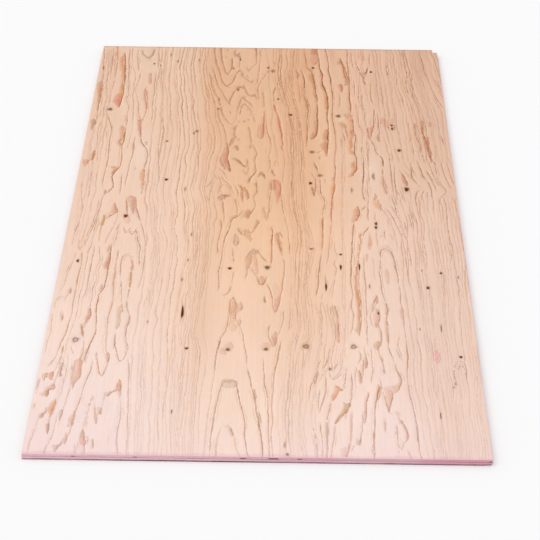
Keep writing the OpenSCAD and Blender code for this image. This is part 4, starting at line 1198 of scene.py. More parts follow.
# soft patches of colour: u, v, spread across, spread along, colour, amount
for bu, bv, su, sv, rgb, amount in (
        (1150, 40, 16, 60, (208, 160, 134), .50), (1150, 190, 16, 70, (210, 164, 134), .45),
        (1090, 60, 16, 90, (214, 168, 142), .25), (60, 160, 22, 140, (226, 184, 156), .40),
        (165, 80, 26, 60, (220, 190, 164), .35), (18, 120, 18, 160, (224, 184, 160), .35),
        (200, 810, 20, 80, (243, 220, 204), .50), (160, 610, 12, 80, (240, 214, 196), .60),
        (112, 380, 10, 120, (238, 212, 188), .60), (614, 380, 12, 70, (226, 196, 158), .45),
        (862, 546, 10, 20, (240, 214, 184), .60), (950, 920, 24, 90, (240, 212, 190), .60),
        (880, 700, 12, 160, (236, 204, 174), .45), (430, 330, 34, 330, (222, 170, 128), .55),
        (395, 90, 22, 130, (222, 174, 138), .45), (690, 330, 34, 380, (221, 168, 128), .55),
        (745, 60, 20, 140, (218, 164, 126), .50), (740, 620, 24, 300, (224, 172, 132), .45),
        (560, 760, 40, 160, (234, 192, 152), .45), (520, 40, 44, 90, (226, 184, 150), .40),
        (705, 1120, 30, 300, (228, 178, 140), .40), (600, 1600, 110, 240, (246, 206, 172), .50),
        (500, 1780, 60, 260, (244, 204, 174), .30), (720, 1780, 70, 330, (238, 198, 168), .45),
        (400, 1500, 60, 500, (242, 204, 178), .35), (1120, 1900, 90, 420, (236, 202, 184), .40),
        (110, 2290, 130, 150, (246, 222, 220), .60), (960, 2330, 90, 130, (248, 224, 220), .50),
        (560, 2180, 60, 200, (250, 218, 196), .40), (640, 1010, 26, 90, (232, 186, 156), .35),
        (560, 1240, 60, 90, (240, 198, 158), .45), (30, 1200, 30, 260, (240, 206, 188), .35),
        # long tan and pale streaks along the grain
        (434, 1550, 16, 420, (222, 180, 150), .34), (1084, 560, 15, 380, (240, 202, 168), .32),
        (358, 1300, 28, 300, (250, 217, 192), .26), (984, 300, 13, 130, (206, 160, 128), .30),
        (832, 60, 15, 60, (200, 156, 124), .34), (684, 440, 15, 70, (240, 196, 156), .38),
        (884, 590, 14, 80, (222, 162, 124), .32), (1134, 1180, 16, 120, (244, 210, 186), .38),
        (280, 620, 15, 110, (224, 182, 150), .34), (784, 920, 13, 50, (218, 172, 138), .34),
        (490, 2380, 20, 50, (250, 224, 210), .40), (1180, 2340, 20, 80, (246, 220, 212), .40)):
    tint(np.array(lin(*rgb)), amount * np.exp(-((U - bu) / (1.5 * su)) ** 2 - ((V - bv) / (1.5 * sv)) ** 2))

# ---------------------------------------------------------------------------
# sides: five plies, cut flush but not quite, with open gaps in the crossbands
# ---------------------------------------------------------------------------
rim = []            # (vertex index, outward normals)


def side_run(idx, normal, kind):
    for k in idx:
        rim.append((int(k), normal, kind))


iu, iv = np.arange(NU + 1) * FU, np.arange(NV + 1) * FV
side_run(order[iu[:-1], iv[-1]], (0, 1), 2)                          # near end, left to right
side_run(order[iu[-1], iv[:1:-1]], (1, 0), 3)                        # right edge, near to far
side_run(order[iu[:NOTCH_I - 1:-1], iv[2]][1:], (0, -1), 4)          # notch, inwards
side_run([order[iu[NOTCH_I], iv[1]]], (1, 0), 4)                     # notch, towards the far end
side_run(order[iu[NOTCH_I::-1], iv[0]], (0, -1), 2)                  # far end, right to left
side_run(order[iu[0], iv[1:-1]], (-1, 0), 3)                         # left edge, far to near

rim_idx = np.array([r[0] for r in rim])
NR = len(rim_idx)
rim_uv = top_uv[rim_idx]
nxt = np.roll(np.arange(NR), -1)
run_dir = rim_uv[nxt] - rim_uv
run_dir /= np.linalg.norm(run_dir, axis=1, keepdims=True)
seg_out = np.stack([-run_dir[:, 1], run_dir[:, 0]], 1)               # outward normal of each segment, in u, v
seg_out *= np.sign((seg_out * (rim_uv + 0.5 * (rim_uv[nxt] - rim_uv) - np.array([W / 2, L / 2]))).sum(1))[:, None]
in_notch = (rim_uv[:, 0] > W - 40) & (rim_uv[:, 1] < 40)
prev_out = np.roll(seg_out, 1, axis=0)

rows = [18.0, 17.6, 14.56, 14.24, 10.96, 10.64, 7.36, 7.04, 3.76, 3.44, 0.4, 0.0]
rows = np.array(rows) * T / 18.0
row_ply = [0, 0, 0, 1, 1, 2, 2, 3, 3, 4, 4, 4]
NEAR_GAPS = [(640, 666, 1, 4.5), (713, 726, 1, 3.5), (566, 580, 1, 3.0), (128, 137, 1, 2.0), (289, 298, 1, 2.0),
             (1208, 1216, 1, 2.5)]
FAR_GAPS = [(210, 238, 1, 4.0), (560, 572, 3, 3.0), (905, 930, 1, 4.0)]
LEFT_GAPS = [(620, 652, 2, 4.0), (1710, 1733, 2, 3.0)]
RIGHT_GAPS = [(980, 1004, 2, 3.5), (1890, 1936, 2, 4.0)]


def band_noise(n, cells, amp, seed):
    r = np.random.default_rng(seed)
    x = np.linspace(0, cells, n)
    k = r.normal(0, 1, cells + 3)
    i = x.astype(int)
    f = x - i
    f = f * f * (3 - 2 * f)
    return amp * (k[i] * (1 - f) + k[i + 1] * f)


ply_in = np.zeros((5, NR))
for p in range(5):
    base = (0.05, 0.22, 0.06, 0.22, 0.05)[p]
    ply_in[p] = np.clip(base + band_noise(NR, 260, 0.07, 50 + p) + band_noise(NR, 40, 0.06, 70 + p), 0.0, 0.7)
for k in range(NR):
    u, v = rim_uv[k]
    runs = ((v > L - 1, u, NEAR_GAPS), (v < 1, u, FAR_GAPS), (u < 1, v, LEFT_GAPS), (u > W - 1, v, RIGHT_GAPS))
    for on, at, gaps in runs:
        if on:
            for g0, g1, p, deep in gaps:
                if g0 <= at <= g1:
                    ply_in[p, k] += deep * min(1.0, 0.45 + min(at - g0, g1 - at) / 5.0)
break_in = np.zeros((5, NR))
for p, ragged in enumerate((0.2, 1.5, 0.5, 1.9, 1.0)):
    break_in[p] = np.where(in_notch, ragged * (0.6 + 0.4 * np.sin(np.arange(NR) * 1.7 + p * 2.1)), 0)
# lower plies are chipped at the near right corner
corner = np.hypot(rim_uv[:, 0] - W, rim_uv[:, 1] - L)
chip = np.clip(1 - corner / 26.0, 0, 1)
ply_in[4] += 3.2 * chip
ply_in[3] += 0.7 * chip

side_co = np.zeros((len(rows), NR, 3))
arris = np.clip(0.28 + band_noise(NR, 420, 0.10, 91) + np.clip(band_noise(NR, 300, 1.0, 92) - 1.9, 0, 1) * 1.1, 0.15, 1.3)
for r, z in enumerate(rows):
    p = row_ply[r]
    inn = ply_in[p] + break_in[p]
    if r in (0, len(rows) - 1):
        inn = inn + arris
    shift = -prev_out * inn[:, None]
    turned = (np.abs((prev_out * seg_out).sum(1)) < 0.5)[:, None]
    shift = shift - np.where(turned, seg_out * inn[:, None], 0)
    side_co[r, :, :2] = rim_uv + shift
    side_co[r, :, 2] = z
top_uv[rim_idx] = side_co[0, :, :2]

# ---------------------------------------------------------------------------
# underside: a coarse lattice that meets every point of the lowest row
# ---------------------------------------------------------------------------
BACK_U, BACK_V = 6, 3
keep_u = sorted(set(range(0, NU + 1, BACK_U)) | {NOTCH_I, NU})
keep_v = sorted(set(range(0, NV + 1, BACK_V)) | {0, 2, NV})
top_n = len(top_uv)
co = [np.column_stack([top_uv, T - depth])]
row_start = {0: None}
base = top_n
row_index = np.zeros((len(rows), NR), int)
row_index[0] = rim_idx
for r in range(1, len(rows)):
    row_index[r] = base + np.arange(NR)
    base += NR
    co.append(side_co[r])
lowest = {int(t): int(b) for t, b in zip(rim_idx, row_index[-1])}
back_at = {}
extra = []
for i in keep_u:
    for j in keep_v:
        if i > NOTCH_I and j < 2:
            continue
        t = int(order[i * FU, j * FV])
        if t in lowest:
            back_at[(i, j)] = lowest[t]
        else:
            back_at[(i, j)] = base
            extra.append((us[i], vs[j], 0.0))
            base += 1
co.append(np.array(extra))
verts = np.vstack(co)

for r in range(len(rows) - 1):
    for k in range(NR):
        kind = rim[k][2]
        if kind == 4 or (rim[k][2] != rim[nxt[k]][2] and in_notch[k] and in_notch[nxt[k]] and 1 < rim_uv[k, 1] + rim_uv[nxt[k], 1] < 60 and rim_uv[k, 0] < W - 1):
            kind = 2
        faces.append([int(row_index[r + 1, k]), int(row_index[r + 1, nxt[k]]), int(row_index[r, nxt[k]]), int(row_index[r, k])])
        face_mat.append(kind if kind in (2, 3) else 2)


def back_point(i, j):
    if (i, j) in back_at:
        return back_at[(i, j)]
    t = int(order[i * FU, j * FV]) if exists[i * FU, j * FV] else -1
    return lowest.get(t, -1)


n_before_back = len(faces)
for a in range(len(keep_u) - 1):
    for b in range(len(keep_v) - 1):
        i0, i1, j0, j1 = keep_u[a], keep_u[a + 1], keep_v[b], keep_v[b + 1]
        if i0 >= NOTCH_I and j0 < 2:
            continue
        ring = [back_point(k, j0) for k in range(i0, i1)] + [back_point(i1, k) for k in range(j0, j1)]
        ring += [back_point(k, j1) for k in range(i1, i0, -1)] + [back_point(i0, k) for k in range(j1, j0, -1)]
        ring = [k for k in ring if k >= 0]
        faces.append(ring)
        face_mat.append(1)

# ---------------------------------------------------------------------------
# mesh
# ---------------------------------------------------------------------------
xyz = np.column_stack([(verts[:, 0] - W / 2) / 1000.0, (L / 2 - verts[:, 1]) / 1000.0, verts[:, 2] / 1000.0])
mesh = bpy.data.meshes.new("plywood_sheet_face")
mesh.from_pydata(xyz.tolist(), [], faces)
mesh.update()
sheet = bpy.data.objects.new("plywood_panel", mesh)
bpy.context.scene.collection.objects.link(sheet)
mesh.polygons.foreach_set("material_index", np.array(face_mat, np.int32))
mesh.polygons.foreach_set("use_smooth", np.ones(len(faces), bool))
mesh.set_sharp_from_angle(angle=math.radians(32))

n_loops = len(mesh.loops)
loop_v = np.zeros(n_loops, np.int32)
mesh.loops.foreach_get("vertex_index", loop_v)
starts = np.zeros(len(faces), np.int32)
totals = np.zeros(len(faces), np.int32)
mesh.polygons.foreach_get("loop_start", starts)
mesh.polygons.foreach_get("loop_total", totals)
loop_face = np.repeat(np.arange(len(faces)), totals)

# distance from each corner of a top face to the ring line nearest that face
centre = np.zeros((n_top_faces, 2))
np.add.at(centre, loop_face[loop_face < n_top_faces], verts[loop_v[loop_face < n_top_faces], :2])
centre /= totals[:n_top_faces, None]
nearest = np.array([tree.find((c[0], c[1], 0.0))[1] for c in centre])
top_loops = np.nonzero(loop_face < n_top_faces)[0]
q = verts[loop_v[top_loops], :2]
k0 = nearest[loop_face[top_loops]]
first, last = P_first[k0], P_last[k0]
best = np.full(len(q), 1e9)
signed = np.full(len(q), 60.0)
at_w = np.ones(len(q))
at_s = np.zeros(len(q))
for o in range(-6, 6):
    a = np.clip(k0 + o, first, last)
    b = np.clip(k0 + o + 1, first, last)
    real = b > a
    pa, pb = P_uv[a], P_uv[b]
    ab = pb - pa
    t = ((q - pa) * ab).sum(1) / np.maximum((ab * ab).sum(1), 1e-9)
    tc = np.clip(t, 0, 1)
    foot = pa + ab * tc[:, None]
    d = np.linalg.norm(q - foot, axis=1)
    hit = real & (d < best)
    cross = ab[:, 0] * (q[:, 1] - pa[:, 1]) - ab[:, 1] * (q[:, 0] - pa[:, 0])
    # the line drawn from far to near: left of it is negative
    way = np.where(ab[:, 1] >= 0, 1.0, -1.0)
    line = np.abs(cross) / np.maximum(np.linalg.norm(ab, axis=1), 1e-9)
    off_end = ((t < 0) & (a == first)) | ((t > 1) & (b == last))
    dd = np.where(off_end, line, d)
    best[hit] = d[hit]
    signed[hit] = (-np.sign(cross) * way * dd)[hit]
    at_w[hit] = (P_w[a] * (1 - tc) + P_w[b] * tc)[hit]
    at_s[hit] = np.where(off_end, np.where(d < 3, (P_s[a] * (1 - tc) + P_s[b] * tc), 0.0), P_s[a] * (1 - tc) + P_s[b] * tc)[hit]

ln = np.zeros((n_loops, 3), np.float32)
ln[:, 0] = 60.0
ln[:, 1] = 1.0
ln[top_loops, 0] = signed
ln[top_loops, 1] = at_w
ln[top_loops, 2] = at_s
ln_col = np.zeros((n_loops, 4), np.float32)
ln_col[:, 3] = 1
ln_col[top_loops, :3] = P_col[k0]
mesh.attributes.new("line", "FLOAT_VECTOR", "CORNER").data.foreach_set("vector", ln.ravel())
mesh.attributes.new("line_colour", "FLOAT_COLOR", "CORNER").data.foreach_set("color", ln_col.ravel())


def point_attr(name, kind, values, fill):
    full = np.tile(np.array(fill, np.float32), (len(verts), 1))
    full[:len(values)] = values
    key = "color" if kind == "FLOAT_COLOR" else "vector"
    mesh.attributes.new(name, kind, "POINT").data.foreach_set(key, full.ravel())


ones = np.ones((top_n, 1))
point_attr("knot", "FLOAT_VECTOR", kn, (0, 0, 0))
point_attr("patch", "FLOAT_VECTOR", np.column_stack([pt_d, pt_s, pt_x]), (40, 0, 0))
point_attr("patch_colour", "FLOAT_COLOR", np.hstack([pt_col, ones]), (*FLAME["t"], 1))
point_attr("tone", "FLOAT_COLOR", np.hstack([tone, ones]), (*TAN, 1))

# one layout of the whole surface: face, underside, then the four edges as strips
uvs = np.zeros((n_loops, 2), np.float32)
mats = np.array(face_mat)[loop_face]
P = verts[loop_v]
vv = 0.004 + 0.992 * (1 - P[:, 1] / L)
uvs[:, 1] = vv
uvs[:, 0] = np.where(mats == 0, 0.004 + 0.606 * P[:, 0] / W, 0.620 + 0.276 * (1 - P[:, 0] / W))
fc = np.zeros((len(faces), 2))
np.add.at(fc, loop_face, P[:, :2])
fc /= totals[:, None]
fcl = fc[loop_face]
zz = P[:, 2] / T
edge = mats >= 2
d_near, d_far, d_left, d_right = L - fcl[:, 1], fcl[:, 1], fcl[:, 0], W - fcl[:, 0]
which = np.argmin(np.stack([d_left, d_right, d_near, d_far]), axis=0)
notch_loop = edge & (fcl[:, 0] > W - 30) & (fcl[:, 1] < 30) & (d_right > 0.6) & (d_far > 0.6)
for w, x0, v0, v1 in ((0, 0.903, 0.004, 0.996), (1, 0.934, 0.004, 0.996), (2, 0.965, 0.004, 0.500), (3, 0.965, 0.510, 0.965)):
    m = edge & (which == w) & ~notch_loop
    along = P[m, 1] / L if w < 2 else P[m, 0] / W
    uvs[m, 0] = x0 + 0.024 * zz[m]
    uvs[m, 1] = v0 + (v1 - v0) * along
m = notch_loop
uvs[m, 0] = 0.965 + 0.024 * zz[m]
uvs[m, 1] = 0.972 + 0.024 * np.clip(((W - P[m, 0]) + P[m, 1]) / 44.0, 0, 1)
layer = mesh.uv_layers.new(name="OFBake")
layer.data.foreach_set("uv", uvs.ravel())


# ---------------------------------------------------------------------------
# materials
# ---------------------------------------------------------------------------
class Nodes:
    def __init__(self, name):
        self.mat = bpy.data.materials.new(name)
        self.mat.use_nodes = True
        self.t = self.mat.node_tree
        self.shader = self.t.nodes["Principled BSDF"]
        self.pos = self.t.nodes.new("ShaderNodeTexCoord").outputs["Object"]
        self.xyz = self.t.nodes.new("ShaderNodeSeparateXYZ")
        self.t.links.new(self.pos, self.xyz.inputs[0])
        self.x, self.y, self.z = self.xyz.outputs

    def put(self, value, socket):
        if isinstance(value, bpy.types.NodeSocket):
            self.t.links.new(value, socket)
        elif isinstance(value, (tuple, list)):
            socket.default_value = tuple(value) + (1.0,) * (len(socket.default_value) - len(value))
        else:
            socket.default_value = value

    def math(self, op, a, b=0.0, c=0.0, clamp=False):
        n = self.t.nodes.new("ShaderNodeMath")
        n.operation = op
        n.use_clamp = clamp
        for v, s in zip((a, b, c), n.inputs):
            self.put(v, s)
        return n.outputs[0]

    def attr(self, name):
        n = self.t.nodes.new("ShaderNodeAttribute")
        n.attribute_name = name
        return n

    def parts(self, vector):
        n = self.t.nodes.new("ShaderNodeSeparateXYZ")
        self.t.links.new(vector, n.inputs[0])
        return n.outputs

    def stretch(self, sx, sy, sz, shift=(0, 0, 0)):
        """Object position in waves: one unit is sx, sy, sz metres."""
        n = self.t.nodes.new("ShaderNodeMapping")
        self.t.links.new(self.pos, n.inputs["Vector"])
        n.inputs["Scale"].default_value = (1 / sx, 1 / sy, 1 / sz)
        n.inputs["Location"].default_value = shift
        return n.outputs[0]

    def noise(self, vector, detail=2.0, rough=0.5, distort=0.0):
        n = self.t.nodes.new("ShaderNodeTexNoise")
        n.inputs["Scale"].default_value = 1.0
        n.inputs["Detail"].default_value = detail
        n.inputs["Roughness"].default_value = rough
        n.inputs["Distortion"].default_value = distort
        self.put(vector, n.inputs["Vector"])
        return n.outputs[0]

    def span(self, value, a, b, c=0.0, d=1.0, smooth=True):
        n = self.t.nodes.new("ShaderNodeMapRange")
        n.interpolation_type = "SMOOTHSTEP" if smooth else "LINEAR"
        for v, s in zip((value, a, b, c, d), n.inputs):
            self.put(v, s)
        return n.outputs[0]

    def mix(self, fac, a, b, kind="MIX"):
        n = self.t.nodes.new("ShaderNodeMix")
        n.data_type = "RGBA"
        n.blend_type = kind
        self.put(fac, n.inputs["Factor"])
        self.put(a, n.inputs[6])
        self.put(b, n.inputs[7])
        return n.outputs[2]

    def scaled(self, colour, factor):
        """colour times a grey factor"""
        n = self.t.nodes.new("ShaderNodeVectorMath")
        n.operation = "SCALE"
        self.put(colour, n.inputs[0])
        self.put(factor, n.inputs["Scale"])
        return n.outputs[0]

    def bump(self, height, strength, distance):
        n = self.t.nodes.new("ShaderNodeBump")
        n.inputs["Strength"].default_value = strength
        n.inputs["Distance"].default_value = distance
        self.put(height, n.inputs["Height"])
        return n.outputs[0]

    def finish(self, colour, rough, normal):
        self.put(colour, self.shader.inputs["Base Color"])
        self.put(rough, self.shader.inputs["Roughness"])
        self.put(normal, self.shader.inputs["Normal"])
        self.shader.inputs["Specular IOR Level"].default_value = 0.06
        return self.mat


DARK = lin(88, 42, 18)
KNOT = lin(160, 100, 62)
STAIN = lin(216, 152, 178)

# ---- face ----
g = Nodes("fir_face")
tone_c = g.attr("tone").outputs["Color"]
fibre = g.noise(g.stretch(0.0011, 0.055, 1.0), 3.0, 0.6)
streak = g.noise(g.stretch(0.0065, 0.42, 1.0, (3.1, 7.7, 0)), 2.0, 0.55)
cloud = g.noise(g.stretch(0.085, 0.20, 1.0, (9.3, 2.2, 0)), 2.0, 0.5)
shade = g.math("ADD", g.span(fibre, 0.2, 0.8, 0.962, 1.034, False), g.span(streak, 0.25, 0.75, -0.030, 0.028, False))
shade = g.math("ADD", shade, g.span(cloud, 0.25, 0.75, -0.022, 0.020, False))
col = g.scaled(tone_c, shade)
drift = g.noise(g.stretch(0.026, 0.085, 1.0, (6.6, 3.4, 0)), 2.0, 0.55)
col = g.mix(g.span(drift, 0.50, 0.72, 0.0, 1.0), col, g.mix(1.0, col, (1.0, 0.972, 0.925, 1.0), "MULTIPLY"))
col = g.mix(g.span(drift, 0.48, 0.28, 0.0, 1.0), col, g.mix(1.0, col, (0.975, 0.985, 1.0, 1.0), "MULTIPLY"))
# short dark pores and lathe checks along the grain
pore = g.noise(g.stretch(0.0008, 0.016, 1.0, (1.7, 4.1, 0)), 1.0, 0.4)
pore_m = g.span(pore, 0.70, 0.80, 0.0, 0.30)
col = g.mix(pore_m, col, lin(186, 140, 106))
# wide latewood
pd, ps, px = g.parts(g.attr("patch").outputs["Vector"])
ragged = g.noise(g.stretch(0.007, 0.030, 1.0, (5.5, 1.3, 0)), 3.0, 0.62)
frayed = g.noise(g.stretch(0.0028, 0.010, 1.0, (2.5, 9.3, 0)), 2.0, 0.6)
fray = g.math("ADD", g.span(ragged, 0.28, 0.72, -2.8, 2.8, False), g.span(frayed, 0.28, 0.72, -1.5, 1.5, False))
pd2 = g.math("ADD", pd, g.math("MULTIPLY", fray, g.span(g.y, -1.1, 0.9, 0.52, 1.10, False)))
inside = g.span(pd2, 1.4, g.span(px, -0.9, 0.5, -3.2, -1.5, False), 0.0, 1.0)
silk = g.noise(g.stretch(0.0024, 0.060, 1.0, (8.1, 0.4, 0)), 3.0, 0.62)
pm = g.math("MULTIPLY", g.math("MULTIPLY", inside, ps), g.span(silk, 0.30, 0.70, 0.70, 1.14, False), clamp=True)
pm = g.math("MULTIPLY", pm, g.span(px, -1.2, 0.9, 0.52, 1.14), clamp=True)
patch_c = g.attr("patch_colour").outputs["Color"]
mottle = g.noise(g.stretch(0.011, 0.042, 1.0, (3.3, 6.1, 0)), 2.0, 0.6)
patch_c = g.mix(g.span(mottle, 0.50, 0.68, 0.0, 0.55), patch_c, g.mix(1.0, patch_c, lin(226, 204, 200), "MULTIPLY"))
patch_c = g.mix(g.span(mottle, 0.47, 0.32, 0.0, 0.42), patch_c, lin(232, 184, 138))
col = g.mix(pm, col, patch_c)
rim_m = g.math("MULTIPLY", g.span(pd2, 1.9, 0.2), g.span(pd2, -2.6, -0.6))
rim_m = g.math("MULTIPLY", rim_m, g.span(px, -0.5, 0.7, 0.30, 1.35))
rim_m = g.math("MULTIPLY", g.math("MULTIPLY", rim_m, ps), g.span(silk, 0.35, 0.65, 0.10, 0.55, False), clamp=True)
col = g.mix(rim_m, col, g.mix(1.0, patch_c, lin(188, 172, 164), "MULTIPLY"))
# ring lines: sharp to the right, fading to the left
ld, lw, ls = g.parts(g.attr("line").outputs["Vector"])
wob = g.noise(g.stretch(0.005, 0.020, 1.0, (2.6, 6.4, 0)), 3.0, 0.6)
ld2 = g.math("ADD", ld, g.span(wob, 0.2, 0.8, -1.45, 1.45, False))
teeth = g.noise(g.stretch(0.004, 0.0085, 1.0, (7.7, 1.9, 0)), 1.0, 0.5)
ld2 = g.math("ADD", ld2, g.span(teeth, 0.2, 0.8, -0.95, 0.95, False))
swell = g.noise(g.stretch(0.014, 0.038, 1.0, (0.9, 5.6, 0)), 2.0, 0.6)
lw2 = g.math("MULTIPLY", lw, g.span(swell, 0.3, 0.75, 0.80, 1.65, False))
across = g.math("DIVIDE", ld2, lw2)
core = g.span(g.math("ABSOLUTE", across), 1.75, 0.45)
tail = g.math("MULTIPLY", g.span(across, -6.5, -0.2), g.math("LESS_THAN", across, 0.0))
flash = g.math("MULTIPLY", g.span(across, 1.1, 1.9), g.span(across, 6.0, 2.4))
grit = g.noise(g.stretch(0.0018, 0.016, 1.0, (4.4, 8.8, 0)), 2.0, 0.6)
flash = g.math("MULTIPLY", g.math("MULTIPLY", flash, ls), g.span(lw, 1.15, 1.75, 0.68, 0.36), clamp=True)
col = g.mix(flash, col, g.mix(0.60, tone_c, lin(255, 230, 211)))
warm = g.math("MULTIPLY", g.math("MULTIPLY", tail, ls), 0.52, clamp=True)
col = g.mix(warm, col, g.mix(1.0, tone_c, lin(240, 202, 172), "MULTIPLY"))
lm = g.math("MULTIPLY", core, g.math("MULTIPLY", ls, g.span(grit, 0.25, 0.75, 0.80, 1.12, False)), clamp=True)
col = g.mix(lm, col, g.attr("line_colour").outputs["Color"])
# knots
kd, kh, kz = g.parts(g.attr("knot").outputs["Vector"])
burr = g.noise(g.stretch(0.0022, 0.0040, 1.0, (6.2, 3.3, 0)), 3.0, 0.65)
kh2 = g.math("MULTIPLY", kh, g.span(burr, 0.2, 0.8, 0.55, 1.15, False), clamp=True)
col = g.mix(kh2, col, KNOT)
kd2 = g.math("MULTIPLY", kd, g.span(burr, 0.15, 0.6, 0.80, 1.08, False), clamp=True)
col = g.mix(kd2, col, DARK)
# pink edge seal that has crept over the near and right arrises
creep = g.noise(g.stretch(0.030, 0.030, 1.0, (1.1, 2.9, 0)), 3.0, 0.6)
lip = g.math("ADD", g.y, L / 2000.0)
seal = g.span(g.math("SUBTRACT", lip, g.span(creep, 0.3, 0.7, 0.0, 0.012, False)), 0.010, -0.002, 0.0, 0.30)
col = g.mix(seal, col, STAIN)
veil = g.span(g.math("SUBTRACT", lip, g.span(creep, 0.3, 0.7, 0.0, 0.05, False)), 0.10, -0.01, 0.0, 0.12)
col = g.mix(veil, col, lin(240, 208, 222))
# painted shade: a darker band along the far lip of the face, where the rounded arris turns from the light
far = g.math("SUBTRACT", L / 2000.0, g.y)
far_lip_painted_shade = g.span(g.math("SUBTRACT", far, g.span(creep, 0.3, 0.7, 0.0, 0.006, False)), 0.008, 0.001, 0.0, 0.45)
col = g.mix(far_lip_painted_shade, col, lin(186, 140, 124))
lip_r = g.math("SUBTRACT", W / 2000.0, g.x)
seal_r = g.span(g.math("SUBTRACT", lip_r, g.span(creep, 0.3, 0.7, 0.0, 0.006, False)), 0.005, -0.002, 0.0, 0.08)
col = g.mix(seal_r, col, STAIN)
rough = g.math("SUBTRACT", g.span(fibre, 0.2, 0.8, 0.60, 0.72, False), g.math("MULTIPLY", g.math("MAXIMUM", lm, pm), 0.14))
relief = g.math("ADD", g.math("MULTIPLY", fibre, 0.35), g.math("MULTIPLY", g.math("MAXIMUM", lm, pm), 0.8))
relief = g.math("SUBTRACT", relief, g.math("MULTIPLY", pore_m, 1.6))
face_material = g.finish(col, rough, g.bump(relief, 0.35, 0.00025))

# ---- underside: plainer veneer, rings from a slow field ----
g = Nodes("fir_back")
fibre = g.noise(g.stretch(0.0012, 0.060, 1.0, (2.0, 1.0, 0)), 3.0, 0.6)
broad = g.noise(g.stretch(0.21, 1.10, 1.0, (0.3, 0.8, 0)), 2.0, 0.45, 0.2)
mid = g.noise(g.stretch(0.030, 0.16, 1.0, (7.1, 4.6, 0)), 2.0, 0.5)
small = g.noise(g.stretch(0.006, 0.030, 1.0, (3.9, 5.2, 0)), 2.0, 0.5)
field = g.math("ADD", g.math("MULTIPLY", broad, 46.0), g.math("MULTIPLY", g.x, 14.0))
field = g.math("ADD", field, g.math("MULTIPLY", mid, 1.7))
field = g.math("ADD", field, g.math("MULTIPLY", small, 0.35))
saw = g.math("FRACT", field)
late = g.span(saw, 0.62, 0.97)
edge_off = g.span(saw, 0.985, 1.0, 1.0, 0.0)
late = g.math("MULTIPLY", late, edge_off)
year = g.math("FLOOR", field)
wn = g.t.nodes.new("ShaderNodeTexWhiteNoise")
wn.noise_dimensions = "1D"
g.put(year, wn.inputs["W"])
late = g.math("MULTIPLY", late, g.span(wn.outputs["Value"], 0.0, 1.0, 0.35, 0.85, False))
cloud = g.noise(g.stretch(0.16, 0.42, 1.0, (4.0, 9.0, 0)), 2.0, 0.5)
col = g.mix(g.span(cloud, 0.3, 0.7), lin(232, 198, 166), lin(242, 214, 192))
col = g.scaled(col, g.span(fibre, 0.2, 0.8, 0.95, 1.04, False))
col = g.mix(late, col, lin(176, 122, 84))
vor = g.t.nodes.new("ShaderNodeTexVoronoi")
vor.inputs["Scale"].default_value = 1.0
g.put(g.stretch(0.26, 0.34, 1.0, (1.6, 0.2, 0)), vor.inputs["Vector"])
spot = vor.outputs["Distance"]
gate = g.math("GREATER_THAN", g.parts(vor.outputs["Color"])[0], 0.42)
halo = g.math("MULTIPLY", g.span(spot, 0.085, 0.02), gate)
eye = g.math("MULTIPLY", g.span(spot, 0.045, 0.028), gate)
col = g.mix(g.math("MULTIPLY", halo, 0.55), col, KNOT)
col = g.mix(g.math("MULTIPLY", eye, 0.80), col, lin(92, 58, 40))
rough = g.math("SUBTRACT", g.span(fibre, 0.2, 0.8, 0.64, 0.76, False), g.math("MULTIPLY", late, 0.10))
relief = g.math("ADD", g.math("MULTIPLY", fibre, 0.5), g.math("MULTIPLY", late, 0.7))
back_material = g.finish(col, rough, g.bump(relief, 0.4, 0.0003))


